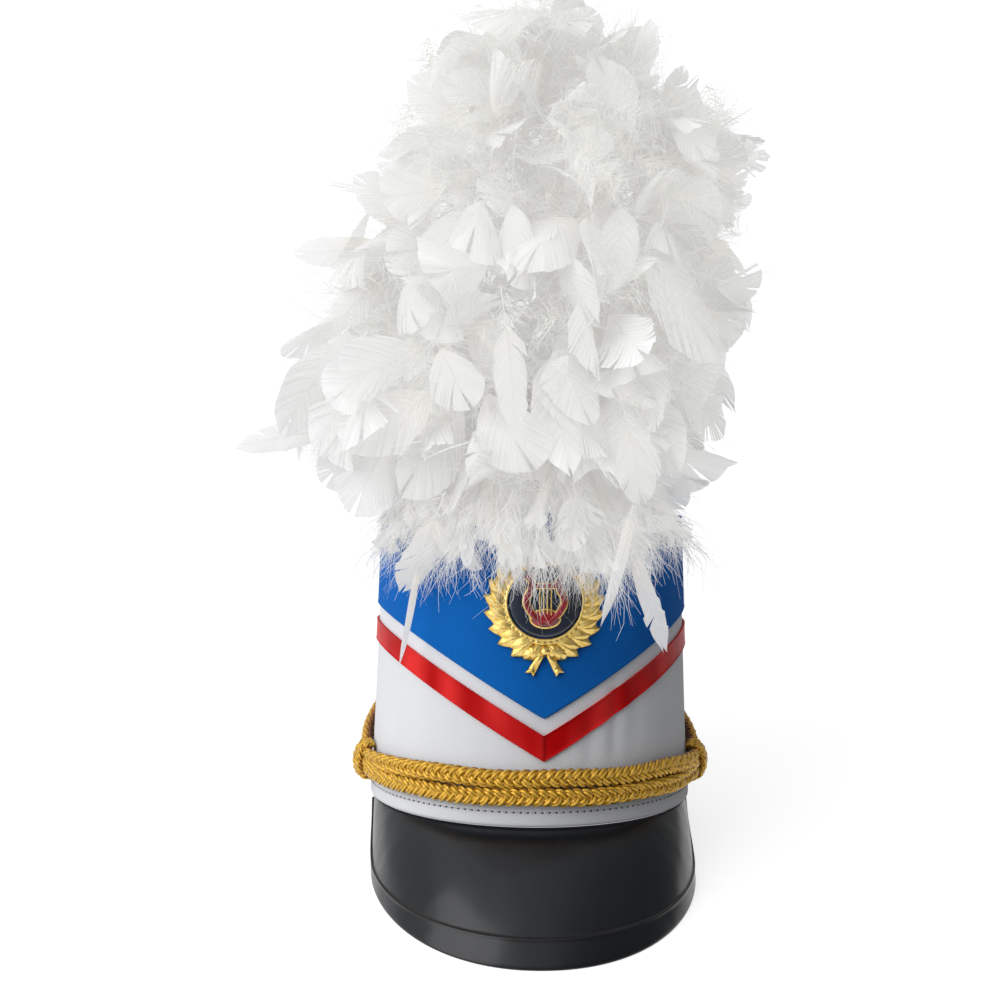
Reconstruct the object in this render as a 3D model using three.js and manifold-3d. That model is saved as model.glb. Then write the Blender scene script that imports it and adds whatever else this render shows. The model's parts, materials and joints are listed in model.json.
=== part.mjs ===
// A marching band shako: a stiff cloth-covered crown with a blue upper panel, a red ribbon chevron,
// a braided gold hat cord, an enamelled badge, a moulded black peak and a tall white feather plume.
//
// Units are millimetres. The hat is modelled in its own frame: Z runs up the crown's axis from the
// rim, the front faces -Y, and angles round the crown are degrees from the front towards +X.
// At the end the whole hat is leaned back until it stands on its peak and the back of its rim.

import * as THREE from "three";
import { mergeVertices } from "three/addons/utils/BufferGeometryUtils.js";
import Module from "manifold-3d";

const wasm = await Module();
wasm.setup();

// Driving dimensions
const gap = 0.3; // between pieces that touch
const crown = { halfWidth: 87, halfDepth: 97.4, height: 150, taper: 5.5, wall: 2.5 };
const hem = { height: 9, swell: 0.6, tuck: 0.6, roll: 1.2, fade: 1 };
const crownTop = { thickness: 2, edgeRadius: 0.8 };
const cloth = { thickness: 1 };
const bluePanel = { tipHeight: 53, sideHeight: 103.5 };
const ribbon = { tipHeight: 38.4, sideHeight: 89.5, width: 10.8 };
const trimTurn = 1.5; // degrees that the blue panel, ribbon and badge sit off the peak's middle
const peak = {
  halfSpan: 85, // degrees of rim that the peak is sewn to, each side of the front
  edgeHalfSpan: 94, // degrees of its edge's oval, each side of the front
  edgeHalfWidth: 84.2,
  edgeHalfDepth: 109,
  edgeCentreY: -40,
  edgeSquareness: 2.1, // 2 is a plain oval
  drop: 53.4, // of the tip below the rim
  thickness: 2,
  borderShare: 0.81, // where the raised border starts, from rim to edge
  borderRise: 0.7,
  bulge: 0.16, // of the slope's length, at the front
  cornerStart: 0.8, // where the ends begin to round off
  cornerHeight: 0.12, // of the full depth, left at the very end
};
const cord = { diameter: 8, lowerHeight: 15.6, upperHeight: 24, halfSpan: 71.6 };
const knot = { angle: 77, height: 19.8, halfLength: 8, halfHeight: 12, halfThickness: 5.8 };
const sideButton = { angle: 119.5, height: 40.8, postRadius: 2.2, headRadius: 6.5, headThickness: 4 };
const badge = {
  centreHeight: 106,
  rimCentre: 4, // above the badge's centre
  groundRadius: 17.4,
  rimInner: 17.8,
  rimOuter: 21,
  plateThickness: 1.6,
  leafLength: 12,
  leafWidth: 7.4,
  leafThickness: 2.6,
  leafCircle: 20.3,
  leavesPerSide: 6,
  firstLeafAngle: 20, // from straight down
  leafStep: 18,
  innerLean: 32, // of every other leaf, away from the rim
  outerLean: 45,
  clearance: 0.5, // behind the badge and between its layers
};
const bow = {
  height: -20, // from the badge's centre
  loopAcross: 5.2,
  loopLength: 6,
  loopWidth: 3.6,
  loopDroop: -0.35, // radians
  rise: 3,
  knotRadius: 3,
  knotRise: 3.8,
};
const bowTail = { across: 4, height: -26.5, width: 3.4, length: 10, thickness: 1.5, spread: 0.5 };
const enamelThickness = 0.8;
const lyre = { height: 26, halfWidth: 9.5, thickness: 1.4, barWidth: 3.4 };
// The lyre's body and crossbar, in shares of its height, half width and bar width
const lyreBody = { down: 0.3, halfWidth: 0.72, halfHeight: 0.2 };
const lyreCrossbar = { up: 0.33, width: 1.9, thickness: 0.7 };
// A horn of the lyre, in shares of its half width and height
const lyreHorn = [
  { across: 0.45, up: -0.24 },
  { across: 0.98, up: 0.02 },
  { across: 0.62, up: 0.3 },
  { across: 0.95, up: 0.5 },
];
const plumePost = { radius: 4, length: 70, y: -30 };
const fall = {
  halfSpan: 50, // degrees each side of the front
  clearance: 9, // to the crown, past the badge
  thickness: 11,
  edgeThinning: 3,
  lowest: 111,
  scallop: 9,
  scallops: 5,
  shoulder: 0.3, // share of its drop where it reaches full thickness
};
const restLineY = 94; // the rim rests on the floor behind this line

// The plume's outer form, a row for each level above the crown's top
const plumeLevels = [
  { rise: 0, centreX: -3, centreY: -28, halfWidth: 92, halfDepth: 96 },
  { rise: 20, centreX: -14, centreY: -30, halfWidth: 114, halfDepth: 104 },
  { rise: 41, centreX: -24, centreY: -31, halfWidth: 126, halfDepth: 106 },
  { rise: 70, centreX: -10, centreY: -31, halfWidth: 113, halfDepth: 106 },
  { rise: 106, centreX: 2, centreY: -30, halfWidth: 117, halfDepth: 104 },
  { rise: 142, centreX: -6, centreY: -30, halfWidth: 119, halfDepth: 102 },
  { rise: 178, centreX: 9, centreY: -29, halfWidth: 111, halfDepth: 97 },
  { rise: 200, centreX: 20, centreY: -28, halfWidth: 111, halfDepth: 90 },
  { rise: 226, centreX: 10, centreY: -27, halfWidth: 82, halfDepth: 80 },
  { rise: 254, centreX: 16, centreY: -27, halfWidth: 52, halfDepth: 56 },
  { rise: 276, centreX: 22, centreY: -27, halfWidth: 42, halfDepth: 42 },
  { rise: 286, centreX: 23, centreY: -27, halfWidth: 22, halfDepth: 22 },
];
const plumeTufts = { count: 7, depth: 0.045, twist: 0.063 }; // the twist in radians for each mm of rise
const plumeFoot = crown.height + crownTop.thickness + 2 * gap;

// The cord's loop from the knot round the side button and back, on the +X side
const loopRoute = [
  { angle: 82.5, height: 26 },
  { angle: 90, height: 30 },
  { angle: 99, height: 35 },
  { angle: 108, height: 41 },
  { angle: 115, height: 45.5 },
  { angle: 121, height: 47 },
  { angle: 125.5, height: 43.5 },
  { angle: 124.5, height: 38 },
  { angle: 119, height: 34 },
  { angle: 111, height: 30 },
  { angle: 102, height: 25 },
  { angle: 92, height: 20 },
  { angle: 83, height: 16 },
];

// Steps round the faceted pieces
const roundSteps = 72;
const peakSteps = 44;
const cordSides = 8;
const leafSides = 5;

const { degToRad, lerp, radToDeg } = THREE.MathUtils;

// A point of the crown's outer face, moved outwards by offset.
function crownPoint(angle, height, offset = 0) {
  const drawnIn = (crown.taper * height) / crown.height;
  const turn = degToRad(angle);
  return new THREE.Vector3(
    (crown.halfWidth - drawnIn + offset) * Math.sin(turn),
    -(crown.halfDepth - drawnIn + offset) * Math.cos(turn),
    height,
  );
}

// The crown's outward direction at an angle, level with the rim.
function crownOutward(angle) {
  const turn = degToRad(angle);
  return new THREE.Vector3(
    Math.sin(turn) / crown.halfWidth,
    -Math.cos(turn) / crown.halfDepth,
    0,
  ).normalize();
}

// A closed surface through sections of equal point counts. A section runs out along one face and
// back along the other, so its two halves face each other, and the ends are closed like a ladder.
function skin(sections, goesRound) {
  const across = sections[0].length;
  const points = sections.flat();
  const index = [];
  const quad = (a, b, c, d) => index.push(a, b, c, a, c, d);
  const spans = goesRound ? sections.length : sections.length - 1;
  for (let i = 0; i < spans; i++) {
    const here = i * across;
    const next = ((i + 1) % sections.length) * across;
    for (let j = 0; j < across; j++) {
      const k = (j + 1) % across;
      quad(here + j, here + k, next + k, next + j);
    }
  }
  if (!goesRound) {
    const last = (sections.length - 1) * across;
    for (let j = 0; j < across / 2 - 1; j++) {
      const k = across - 1 - j;
      quad(j, k, k - 1, j + 1);
      quad(last + j, last + j + 1, last + k - 1, last + k);
    }
  }
  const geometry = new THREE.BufferGeometry().setFromPoints(points);
  geometry.setIndex(index);
  return facingOut(geometry);
}

// Turns a closed geometry's faces to point outwards.
function facingOut(geometry) {
  const position = geometry.getAttribute("position");
  const corner = [0, 1, 2].map(() => new THREE.Vector3());
  const order = geometry.index.array;
  let volume = 0;
  for (let i = 0; i < order.length; i += 3) {
    corner.forEach((c, j) => c.fromBufferAttribute(position, order[i + j]));
    volume += corner[0].dot(corner[1].clone().cross(corner[2]));
  }
  if (volume < 0) {
    for (let i = 0; i < order.length; i += 3) {
      [order[i + 1], order[i + 2]] = [order[i + 2], order[i + 1]];
    }
  }
  geometry.computeVertexNormals();
  return geometry;
}

// A closed geometry as a solid for joining and cutting.
function solidOf(geometry) {
  const bare = geometry.clone();
  bare.deleteAttribute("normal");
  bare.deleteAttribute("uv");
  const merged = mergeVertices(bare, 1e-3);
  return new wasm.Manifold(
    new wasm.Mesh({
      numProp: 3,
      vertProperties: new Float32Array(merged.attributes.position.array),
      triVerts: new Uint32Array(merged.index.array),
    }),
  );
}

// A solid back as a geometry.
function geometryOf(solid) {
  const { vertProperties, triVerts } = solid.getMesh();
  const geometry = new THREE.BufferGeometry();
  geometry.setAttribute("position", new THREE.BufferAttribute(vertProperties, 3));
  geometry.setIndex(new THREE.BufferAttribute(triVerts, 1));
  geometry.computeVertexNormals();
  return geometry;
}

// One solid from several geometries that overlap each other.
function joined(geometries) {
  return geometryOf(geometries.map(solidOf).reduce((all, one) => all.add(one)));
}

// A band of cloth all round the crown, between two edges given as heights by angle.
function bandRoundCrown(lowEdge, highEdge, inner, outer) {
  const sections = [];
  for (let i = 0; i < roundSteps; i++) {
    const angle = trimTurn + (360 * i) / roundSteps;
    const [low, high] = [lowEdge(angle), highEdge(angle)];
    sections.push([
      crownPoint(angle, low, outer),
      crownPoint(angle, high, outer),
      crownPoint(angle, high, inner),
      crownPoint(angle, low, inner),
    ]);
  }
  return skin(sections, true);
}

// How far up its slope a chevron is at an angle: straight from its tip to the side when seen from the
// front, and level behind.
function chevronRise(angle) {
  const turn = degToRad(angle - trimTurn);
  return Math.cos(turn) > 0 ? Math.abs(Math.sin(turn)) : 1;
}

function chevron(angle, { tipHeight, sideHeight }) {
  return lerp(tipHeight, sideHeight, chevronRise(angle));
}

function mesh(name, geometry, material) {
  const made = new THREE.Mesh(geometry, material);
  made.name = name;
  return made;
}

function finish(color, roughness, metalness = 0) {
  return new THREE.MeshStandardMaterial({ color, roughness, metalness });
}

const finishes = {
  whiteCloth: finish(0xeceef2, 0.9),
  blueCloth: finish(0x0a5cb8, 0.85),
  redSatin: finish(0xc4121c, 0.4),
  blackPlastic: finish(0x16181b, 0.2),
  goldCord: finish(0xc79a2b, 0.5),
  gilt: finish(0xcfa74a, 0.35, 1),
  redEnamel: finish(0x8f0f1d, 0.15),
  navyEnamel: finish(0x131d33, 0.2),
  feathers: finish(0xf2f1ec, 0.8),
  stem: finish(0xd8d6cf, 0.6),
};

// The crown's wall with its turned hem, open below and above
function crownWall() {
  const sections = [];
  for (let i = 0; i < roundSteps; i++) {
    const angle = (360 * i) / roundSteps;
    sections.push([
      crownPoint(angle, 0, -hem.tuck),
      crownPoint(angle, hem.roll, hem.swell),
      crownPoint(angle, hem.height, hem.swell),
      crownPoint(angle, hem.height + hem.fade, 0),
      crownPoint(angle, crown.height, 0),
      crownPoint(angle, crown.height, -crown.wall),
      crownPoint(angle, 0, -crown.wall),
    ]);
  }
  return skin(sections, true);
}

// The flat top, as wide as the cloth on the wall below it
function crownLid() {
  const edge = crownPoint(90, crown.height, gap + cloth.thickness - crownTop.edgeRadius).x;
  const front = -crownPoint(0, crown.height, gap + cloth.thickness - crownTop.edgeRadius).y;
  const outline = new THREE.Shape().absellipse(0, 0, edge, front, 0, 2 * Math.PI);
  const lid = new THREE.ExtrudeGeometry(outline, {
    depth: crownTop.thickness - 2 * crownTop.edgeRadius,
    bevelSize: crownTop.edgeRadius,
    bevelThickness: crownTop.edgeRadius,
    bevelSegments: 1,
    curveSegments: roundSteps / 2,
  });
  return lid.translate(0, 0, crown.height + gap + crownTop.edgeRadius);
}

// The blue cloth on the upper crown, cut to a point at the front
function upperPanel() {
  return bandRoundCrown(
    (angle) => chevron(angle, bluePanel),
    () => crown.height,
    gap,
    gap + cloth.thickness,
  );
}

// The red ribbon below it, of even width, so it is taller on the slope than at the sides
function chevronRibbon() {
  const steepest = (ribbon.sideHeight - ribbon.tipHeight) / crown.halfWidth;
  const halfHeight = (angle) => {
    const slope = steepest * Math.max(0, Math.cos(degToRad(angle - trimTurn)));
    return (ribbon.width / 2) * Math.hypot(1, slope);
  };
  return bandRoundCrown(
    (angle) => chevron(angle, ribbon) - halfHeight(angle),
    (angle) => chevron(angle, ribbon) + halfHeight(angle),
    gap,
    gap + cloth.thickness,
  );
}

// The lean that brings the peak's edge and the back of the rim onto one level floor
const restLean = Math.atan2(peak.drop, restLineY - peak.edgeCentreY + peak.edgeHalfDepth);

// The height of that floor under a point of the hat.
const floorHeight = (y) => -Math.tan(restLean) * (restLineY - y);

// A point of the peak's edge, which lies on the floor. The side runs from -1 to 1.
function peakEdge(side) {
  const turn = degToRad(peak.edgeHalfSpan * side);
  const squared = (v) => Math.sign(v) * Math.abs(v) ** (2 / peak.edgeSquareness);
  const x = peak.edgeHalfWidth * squared(Math.sin(turn));
  const y = peak.edgeCentreY - peak.edgeHalfDepth * squared(Math.cos(turn));
  return new THREE.Vector3(x, y, floorHeight(y));
}

// How much of its full depth the peak has: all of it, but for its rounded ends.
function peakDepth(side) {
  const along = Math.max(0, (Math.abs(side) - peak.cornerStart) / (1 - peak.cornerStart));
  return lerp(peak.cornerHeight, 1, Math.sqrt(1 - along ** 2));
}

// One section of the peak from rim to edge, over the top and back underneath
function peakSection(side) {
  const angle = peak.halfSpan * side;
  const root = crownPoint(angle, -gap, -crown.wall / 2);
  const edge = root.clone().lerp(peakEdge(side), peakDepth(side));
  const slope = edge.clone().sub(root);
  const outward = crownOutward(angle);
  const crest = new THREE.Vector3(0, 0, 1).addScaledVector(outward, 1).normalize();
  const bulge = slope.length() * peak.bulge * Math.cos(degToRad(angle));
  const middle = root.clone().addScaledVector(slope, 0.5).addScaledVector(crest, bulge);
  const top = new THREE.QuadraticBezierCurve3(root, middle, edge);
  const steps = [
    { share: 0, rise: 0 },
    { share: 0.2, rise: 0 },
    { share: 0.4, rise: 0 },
    { share: 0.6, rise: 0 },
    { share: peak.borderShare, rise: 0 },
    { share: peak.borderShare + 0.02, rise: peak.borderRise },
    { share: 1, rise: peak.borderRise },
  ];
  const sideways = crownPoint(angle + 1, 0).sub(crownPoint(angle - 1, 0)).normalize();
  const face = (depth) => ({ share, rise }) => {
    const up = top.getTangent(share).cross(sideways).normalize();
    if (up.dot(crest) < 0) up.negate();
    return top.getPoint(share).addScaledVector(up, rise - depth);
  };
  const upper = steps.map(face(0));
  const lower = steps.map((step) => face(peak.thickness)({ ...step, rise: 0 })).reverse();
  // The rim sits level on the peak's top edge.
  upper[0].z = -gap;
  lower.at(-1).copy(upper[0]).addScaledVector(outward, -peak.thickness / 2).setZ(-gap - peak.thickness);
  return [...upper, ...lower];
}

function peakShell() {
  const sections = [];
  for (let i = 0; i <= peakSteps; i++) {
    sections.push(peakSection((2 * i) / peakSteps - 1));
  }
  return skin(sections, false);
}

// A cord of round section along points of the crown
function cordAlong(route, steps) {
  const path = new THREE.CatmullRomCurve3(route);
  const section = new THREE.Shape();
  for (let i = 0; i < cordSides; i++) {
    const turn = (2 * Math.PI * i) / cordSides;
    const [x, y] = [Math.cos(turn), Math.sin(turn)].map((v) => (v * cord.diameter) / 2);
    if (i === 0) section.moveTo(x, y);
    else section.lineTo(x, y);
  }
  return new THREE.ExtrudeGeometry(section, { steps, extrudePath: path, bevelEnabled: false });
}

const cordOffset = gap + cord.diameter / 2;

function frontCord(height) {
  const points = 17;
  const route = Array.from({ length: points }, (_, i) =>
    crownPoint(lerp(-cord.halfSpan, cord.halfSpan, i / (points - 1)), height, cordOffset),
  );
  return cordAlong(route, 28);
}

function sideLoop(side) {
  const route = loopRoute.map(({ angle, height }) => crownPoint(side * angle, height, cordOffset));
  return cordAlong(route, 30);
}

// The wrapped knot that both runs of the cord pass into
function sideKnot(side) {
  const outward = crownOutward(side * knot.angle);
  const along = new THREE.Vector3(outward.y, -outward.x, 0);
  const up = new THREE.Vector3(0, 0, 1);
  const offset = knot.halfThickness + 2 * gap;
  const centre = crownPoint(side * knot.angle, knot.height, offset);
  const barrel = new THREE.SphereGeometry(1, 16, 10);
  barrel.scale(knot.halfLength, knot.halfThickness, knot.halfHeight);
  return barrel.applyMatrix4(new THREE.Matrix4().makeBasis(along, outward, up).setPosition(centre));
}

// A plain domed button on a short post, which holds the cord's loop
function loopButton(side) {
  const reach = gap + cord.diameter + 1;
  const { postRadius, headRadius, headThickness } = sideButton;
  const profile = [
    [0, 0],
    [postRadius, 0],
    [postRadius, reach],
    [headRadius, reach],
    [headRadius, reach + headThickness / 3],
    [headRadius * 0.7, reach + headThickness * 0.85],
    [0, reach + headThickness],
  ].map(([r, h]) => new THREE.Vector2(r, h));
  const outward = crownOutward(side * sideButton.angle);
  const turned = new THREE.Quaternion().setFromUnitVectors(new THREE.Vector3(0, 1, 0), outward);
  const foot = crownPoint(side * sideButton.angle, sideButton.height, gap);
  return new THREE.LatheGeometry(profile, 16).applyQuaternion(turned).translate(...foot.toArray());
}

// Bends a flat badge piece round the crown. Flat x is sideways, y is up from the badge's centre and
// z is out from the cloth.
function bentToCrown(geometry, standOff) {
  const position = geometry.getAttribute("position");
  for (let i = 0; i < position.count; i++) {
    const height = badge.centreHeight + position.getY(i);
    const radius = crownPoint(90, height).x;
    const angle = trimTurn + radToDeg(position.getX(i) / radius);
    const placed = crownPoint(angle, height, standOff + position.getZ(i));
    position.setXYZ(i, placed.x, placed.y, placed.z);
  }
  geometry.computeVertexNormals();
  return geometry;
}

const badgeBack = gap + cloth.thickness + badge.clearance;

// A flat plate with straight sides from an outline
function plate(outline, thickness, curveSegments = 18) {
  return new THREE.ExtrudeGeometry(outline, { depth: thickness, bevelEnabled: false, curveSegments });
}

// A low dome on a flat oval base
function dome(halfLength, halfWidth, rise) {
  const profile = [
    [0, 0],
    [1, 0],
    [0.9, 0.45],
    [0.55, 0.88],
    [0, 1],
  ].map(([r, h]) => new THREE.Vector2(r, h));
  return new THREE.LatheGeometry(profile, 12).rotateX(Math.PI / 2).scale(halfLength, halfWidth, rise);
}

// A laurel leaf that lies along a direction, ridged along its middle
function laurelLeaf(root, direction) {
  const rows = [];
  for (let i = 0; i <= leafSides; i++) {
    const share = i / leafSides;
    const half = 0.15 + (badge.leafWidth / 2) * Math.sin(Math.PI * share ** 0.8) ** 0.9;
    const ridge = badge.leafThickness * (0.62 + 0.38 * Math.sin(Math.PI * share));
    const edge = ridge * 0.6;
    const at = (across, out) => new THREE.Vector3(across, share * badge.leafLength, out);
    rows.push([at(-half, 0), at(-half, edge), at(0, ridge), at(half, edge), at(half, 0), at(0, 0)]);
  }
  return skin(rows, false).rotateZ(direction - Math.PI / 2).translate(root.x, root.y, 0);
}

// The gilt frame: a rim, a spray of laurel up each side and a bow where the sprays cross
function badgeWreath() {
  const ring = new THREE.Shape().absarc(0, badge.rimCentre, badge.rimOuter, 0, 2 * Math.PI);
  ring.holes.push(new THREE.Path().absarc(0, badge.rimCentre, badge.rimInner, 0, 2 * Math.PI, true));
  const pieces = [plate(ring, badge.plateThickness)];
  for (const side of [-1, 1]) {
    for (let i = 0; i < badge.leavesPerSide; i++) {
      const turn = degToRad(-90 + side * (badge.firstLeafAngle + i * badge.leafStep));
      const root = {
        x: badge.leafCircle * Math.cos(turn),
        y: badge.rimCentre + badge.leafCircle * Math.sin(turn),
      };
      const outLean = degToRad(i % 2 ? badge.outerLean : badge.innerLean);
      pieces.push(laurelLeaf(root, turn + side * (Math.PI / 2 - outLean)));
    }
    const loop = dome(bow.loopLength, bow.loopWidth, bow.rise);
    pieces.push(loop.rotateZ(side * bow.loopDroop).translate(side * bow.loopAcross, bow.height, 0));
    const tail = new THREE.BoxGeometry(bowTail.width, bowTail.length, bowTail.thickness);
    tail.rotateZ(side * bowTail.spread);
    pieces.push(tail.translate(side * bowTail.across, bowTail.height, bowTail.thickness / 2));
  }
  pieces.push(dome(bow.knotRadius, bow.knotRadius, bow.knotRise).translate(0, bow.height, 0));
  return joined(pieces.map((piece) => bentToCrown(piece, badgeBack)));
}

// The dark enamel disc inside the rim, in upright strips that follow the bend
function badgeGround() {
  const strips = 14;
  const firstTurn = 0.06; // radians, so that the end strips keep a little height
  const sections = [];
  for (let i = 0; i <= strips; i++) {
    const turn = lerp(firstTurn, Math.PI - firstTurn, i / strips);
    const x = -badge.groundRadius * Math.cos(turn);
    const half = badge.groundRadius * Math.sin(turn);
    const at = (y, out) => new THREE.Vector3(x, badge.rimCentre + y, out);
    sections.push([at(-half, 0), at(-half, enamelThickness), at(half, enamelThickness), at(half, 0)]);
  }
  return facingOut(bentToCrown(skin(sections, false), badgeBack));
}

// A red enamel lyre: a round body, two curved horns and a crossbar
function badgeLyre() {
  const { height, halfWidth, thickness, barWidth } = lyre;
  const [bodyWidth, bodyHeight] = [lyreBody.halfWidth * halfWidth, lyreBody.halfHeight * height];
  const body = new THREE.Shape();
  body.absellipse(0, -lyreBody.down * height, bodyWidth, bodyHeight, 0, 2 * Math.PI);
  const pieces = [plate(body, thickness, 10)];
  const half = [thickness / 2, barWidth / 2];
  const bar = new THREE.Shape(
    [
      [-1, -1],
      [1, -1],
      [1, 1],
      [-1, 1],
    ].map(([x, y]) => new THREE.Vector2(x * half[0], y * half[1])),
  );
  for (const side of [-1, 1]) {
    const horn = new THREE.CatmullRomCurve3(
      lyreHorn.map(({ across, up }) => new THREE.Vector3(side * across * halfWidth, up * height, half[0])),
    );
    pieces.push(new THREE.ExtrudeGeometry(bar, { steps: 8, extrudePath: horn, bevelEnabled: false }));
  }
  const { up, width, thickness: barShare } = lyreCrossbar;
  const crossbar = new THREE.BoxGeometry(halfWidth * width, barWidth * barShare, thickness, 6, 1, 1);
  pieces.push(crossbar.translate(0, height * up, half[0]));
  const standOff = badgeBack + enamelThickness + badge.clearance;
  return joined(pieces.map((piece) => bentToCrown(piece.translate(0, badge.rimCentre, 0), standOff)));
}

// The plume's outer form, lumpy with tufts, on a hole for its post
function plumeForm() {
  const around = 32;
  const ring = ({ rise, centreX, centreY, halfWidth, halfDepth }) =>
    Array.from({ length: around }, (_, i) => {
      const turn = (2 * Math.PI * i) / around;
      const tuft = 1 + plumeTufts.depth * Math.sin(plumeTufts.count * turn + plumeTufts.twist * rise);
      const x = centreX + halfWidth * tuft * Math.cos(turn);
      const y = centreY + halfDepth * tuft * Math.sin(turn);
      return new THREE.Vector3(x, y, plumeFoot + rise);
    });
  const form = solidOf(skin(plumeLevels.map(ring), false));
  const below = 1; // so that the socket breaks cleanly through the plume's foot
  const socket = uprightPost(plumePost.radius + gap, plumeFoot - below, plumePost.length + below + gap);
  return geometryOf(form.subtract(solidOf(socket)));
}

function uprightPost(radius, foot, length) {
  const post = new THREE.CylinderGeometry(radius, radius, length, 12);
  return post.rotateX(Math.PI / 2).translate(0, plumePost.y, foot + length / 2);
}

// The feathers that fall over the front of the crown, scalloped along their lower edge
function plumeFall() {
  const steps = 30;
  const sections = [];
  for (let i = 0; i <= steps; i++) {
    const share = (2 * i) / steps - 1;
    const angle = share * fall.halfSpan;
    const low = fall.lowest + (fall.scallop * (1 - Math.cos(Math.PI * fall.scallops * share))) / 2;
    const high = plumeFoot - gap;
    const inner = fall.clearance;
    const outer = inner + fall.thickness * (0.55 + 0.45 * Math.cos((share * Math.PI) / 2));
    const shoulder = lerp(low, high, fall.shoulder);
    sections.push([
      crownPoint(angle, low, outer - fall.edgeThinning),
      crownPoint(angle, shoulder, outer),
      crownPoint(angle, high, outer),
      crownPoint(angle, high, inner),
      crownPoint(angle, shoulder, inner),
      crownPoint(angle, low, inner),
    ]);
  }
  return skin(sections, false);
}

// The hat, leaned back onto the floor with its box centred on the origin
const hat = new THREE.Group();
hat.rotation.x = -restLean;
hat.position.z = restLineY * Math.sin(restLean);
hat.updateMatrix();

// Flattens what would reach below the floor, where the hem and the peak's edge rest on it.
function flattenedByFloor(geometry) {
  const ground = new THREE.BoxGeometry(600, 600, 60).translate(0, 0, -30);
  ground.applyMatrix4(hat.matrix.clone().invert());
  return geometryOf(solidOf(geometry).subtract(solidOf(ground)));
}

hat.add(
  mesh("crown_wall", flattenedByFloor(crownWall()), finishes.whiteCloth),
  mesh("crown_top", crownLid(), finishes.blueCloth),
  mesh("blue_panel", upperPanel(), finishes.blueCloth),
  mesh("red_ribbon", chevronRibbon(), finishes.redSatin),
  mesh("peak", flattenedByFloor(peakShell()), finishes.blackPlastic),
  mesh("cord_upper", frontCord(cord.upperHeight), finishes.goldCord),
  mesh("cord_lower", frontCord(cord.lowerHeight), finishes.goldCord),
  mesh("badge_wreath", badgeWreath(), finishes.gilt),
  mesh("badge_ground", badgeGround(), finishes.navyEnamel),
  mesh("badge_lyre", badgeLyre(), finishes.redEnamel),
  mesh("plume", plumeForm(), finishes.feathers),
  mesh("plume_fall", plumeFall(), finishes.feathers),
  mesh("plume_post", uprightPost(plumePost.radius, plumeFoot, plumePost.length), finishes.stem),
);
for (const [word, side] of [
  ["right", -1],
  ["left", 1],
]) {
  hat.add(
    mesh(`cord_knot_${word}`, sideKnot(side), finishes.goldCord),
    mesh(`cord_loop_${word}`, sideLoop(side), finishes.goldCord),
    mesh(`cord_button_${word}`, loopButton(side), finishes.gilt),
  );
}

hat.updateMatrixWorld(true);
const box = new THREE.Box3().setFromObject(hat, true);
const middle = box.getCenter(new THREE.Vector3());
hat.position.x -= middle.x;
hat.position.y -= middle.y;

const part = new THREE.Group();
part.add(hat);

export default part;
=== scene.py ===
import json
import math

import bpy
import numpy as np
from mathutils import Matrix


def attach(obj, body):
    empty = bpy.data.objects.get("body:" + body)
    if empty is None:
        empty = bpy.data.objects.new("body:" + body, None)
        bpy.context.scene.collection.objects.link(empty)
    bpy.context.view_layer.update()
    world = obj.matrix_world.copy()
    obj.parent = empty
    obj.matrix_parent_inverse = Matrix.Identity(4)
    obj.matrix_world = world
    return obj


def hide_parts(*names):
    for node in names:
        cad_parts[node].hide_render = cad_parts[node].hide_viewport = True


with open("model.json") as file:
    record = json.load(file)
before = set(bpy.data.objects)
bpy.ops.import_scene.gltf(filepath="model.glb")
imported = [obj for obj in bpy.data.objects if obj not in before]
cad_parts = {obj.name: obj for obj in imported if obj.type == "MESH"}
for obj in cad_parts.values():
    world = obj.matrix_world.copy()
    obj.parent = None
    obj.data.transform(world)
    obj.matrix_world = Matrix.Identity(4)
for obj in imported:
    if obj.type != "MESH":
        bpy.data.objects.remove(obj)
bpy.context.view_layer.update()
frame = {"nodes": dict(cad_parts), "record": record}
print("frame loaded")

# The hat's own frame is in millimetres from the middle of the rim: x to the wearer's left, y back, z up the crown
opening = [mount for mount in frame["record"]["mounts"] if mount["name"] == "head_opening"][0]
hatOrigin = np.array(opening["pos_m"])
hatUp = -np.array(opening["axis"])
hatBack = np.array([0.0, hatUp[2], -hatUp[1]])
hatAxes = np.array([[1.0, 0.0, 0.0], hatBack, hatUp])


def toRow(points):
    return hatOrigin + 0.001 * np.asarray(points, float) @ hatAxes


def unit(vectors):
    return vectors / np.maximum(np.linalg.norm(vectors, axis=-1, keepdims=True), 1e-9)


def mix(a, b, share):
    return a + (b - a) * share


def eased(value, low, high):
    share = np.clip((value - low) / (high - low), 0, 1)
    return share * share * (3 - 2 * share)


# A curve through the knots: on each stretch a cubic whose slope at a knot is half the step between its neighbours
def smoothRoute(knots, count):
    knots = np.asarray(knots, float)
    ends = np.vstack([2 * knots[0] - knots[1], knots, 2 * knots[-1] - knots[-2]])
    place = np.linspace(0, len(knots) - 1 - 1e-6, count)
    i = place.astype(int)
    f = (place - i)[:, None]
    a, b, c, d = ends[i], ends[i + 1], ends[i + 2], ends[i + 3]
    return 0.5 * (2 * b + (c - a) * f + (2 * a - 5 * b + 4 * c - d) * f**2 + (3 * b - a - 3 * c + d) * f**3)


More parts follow.
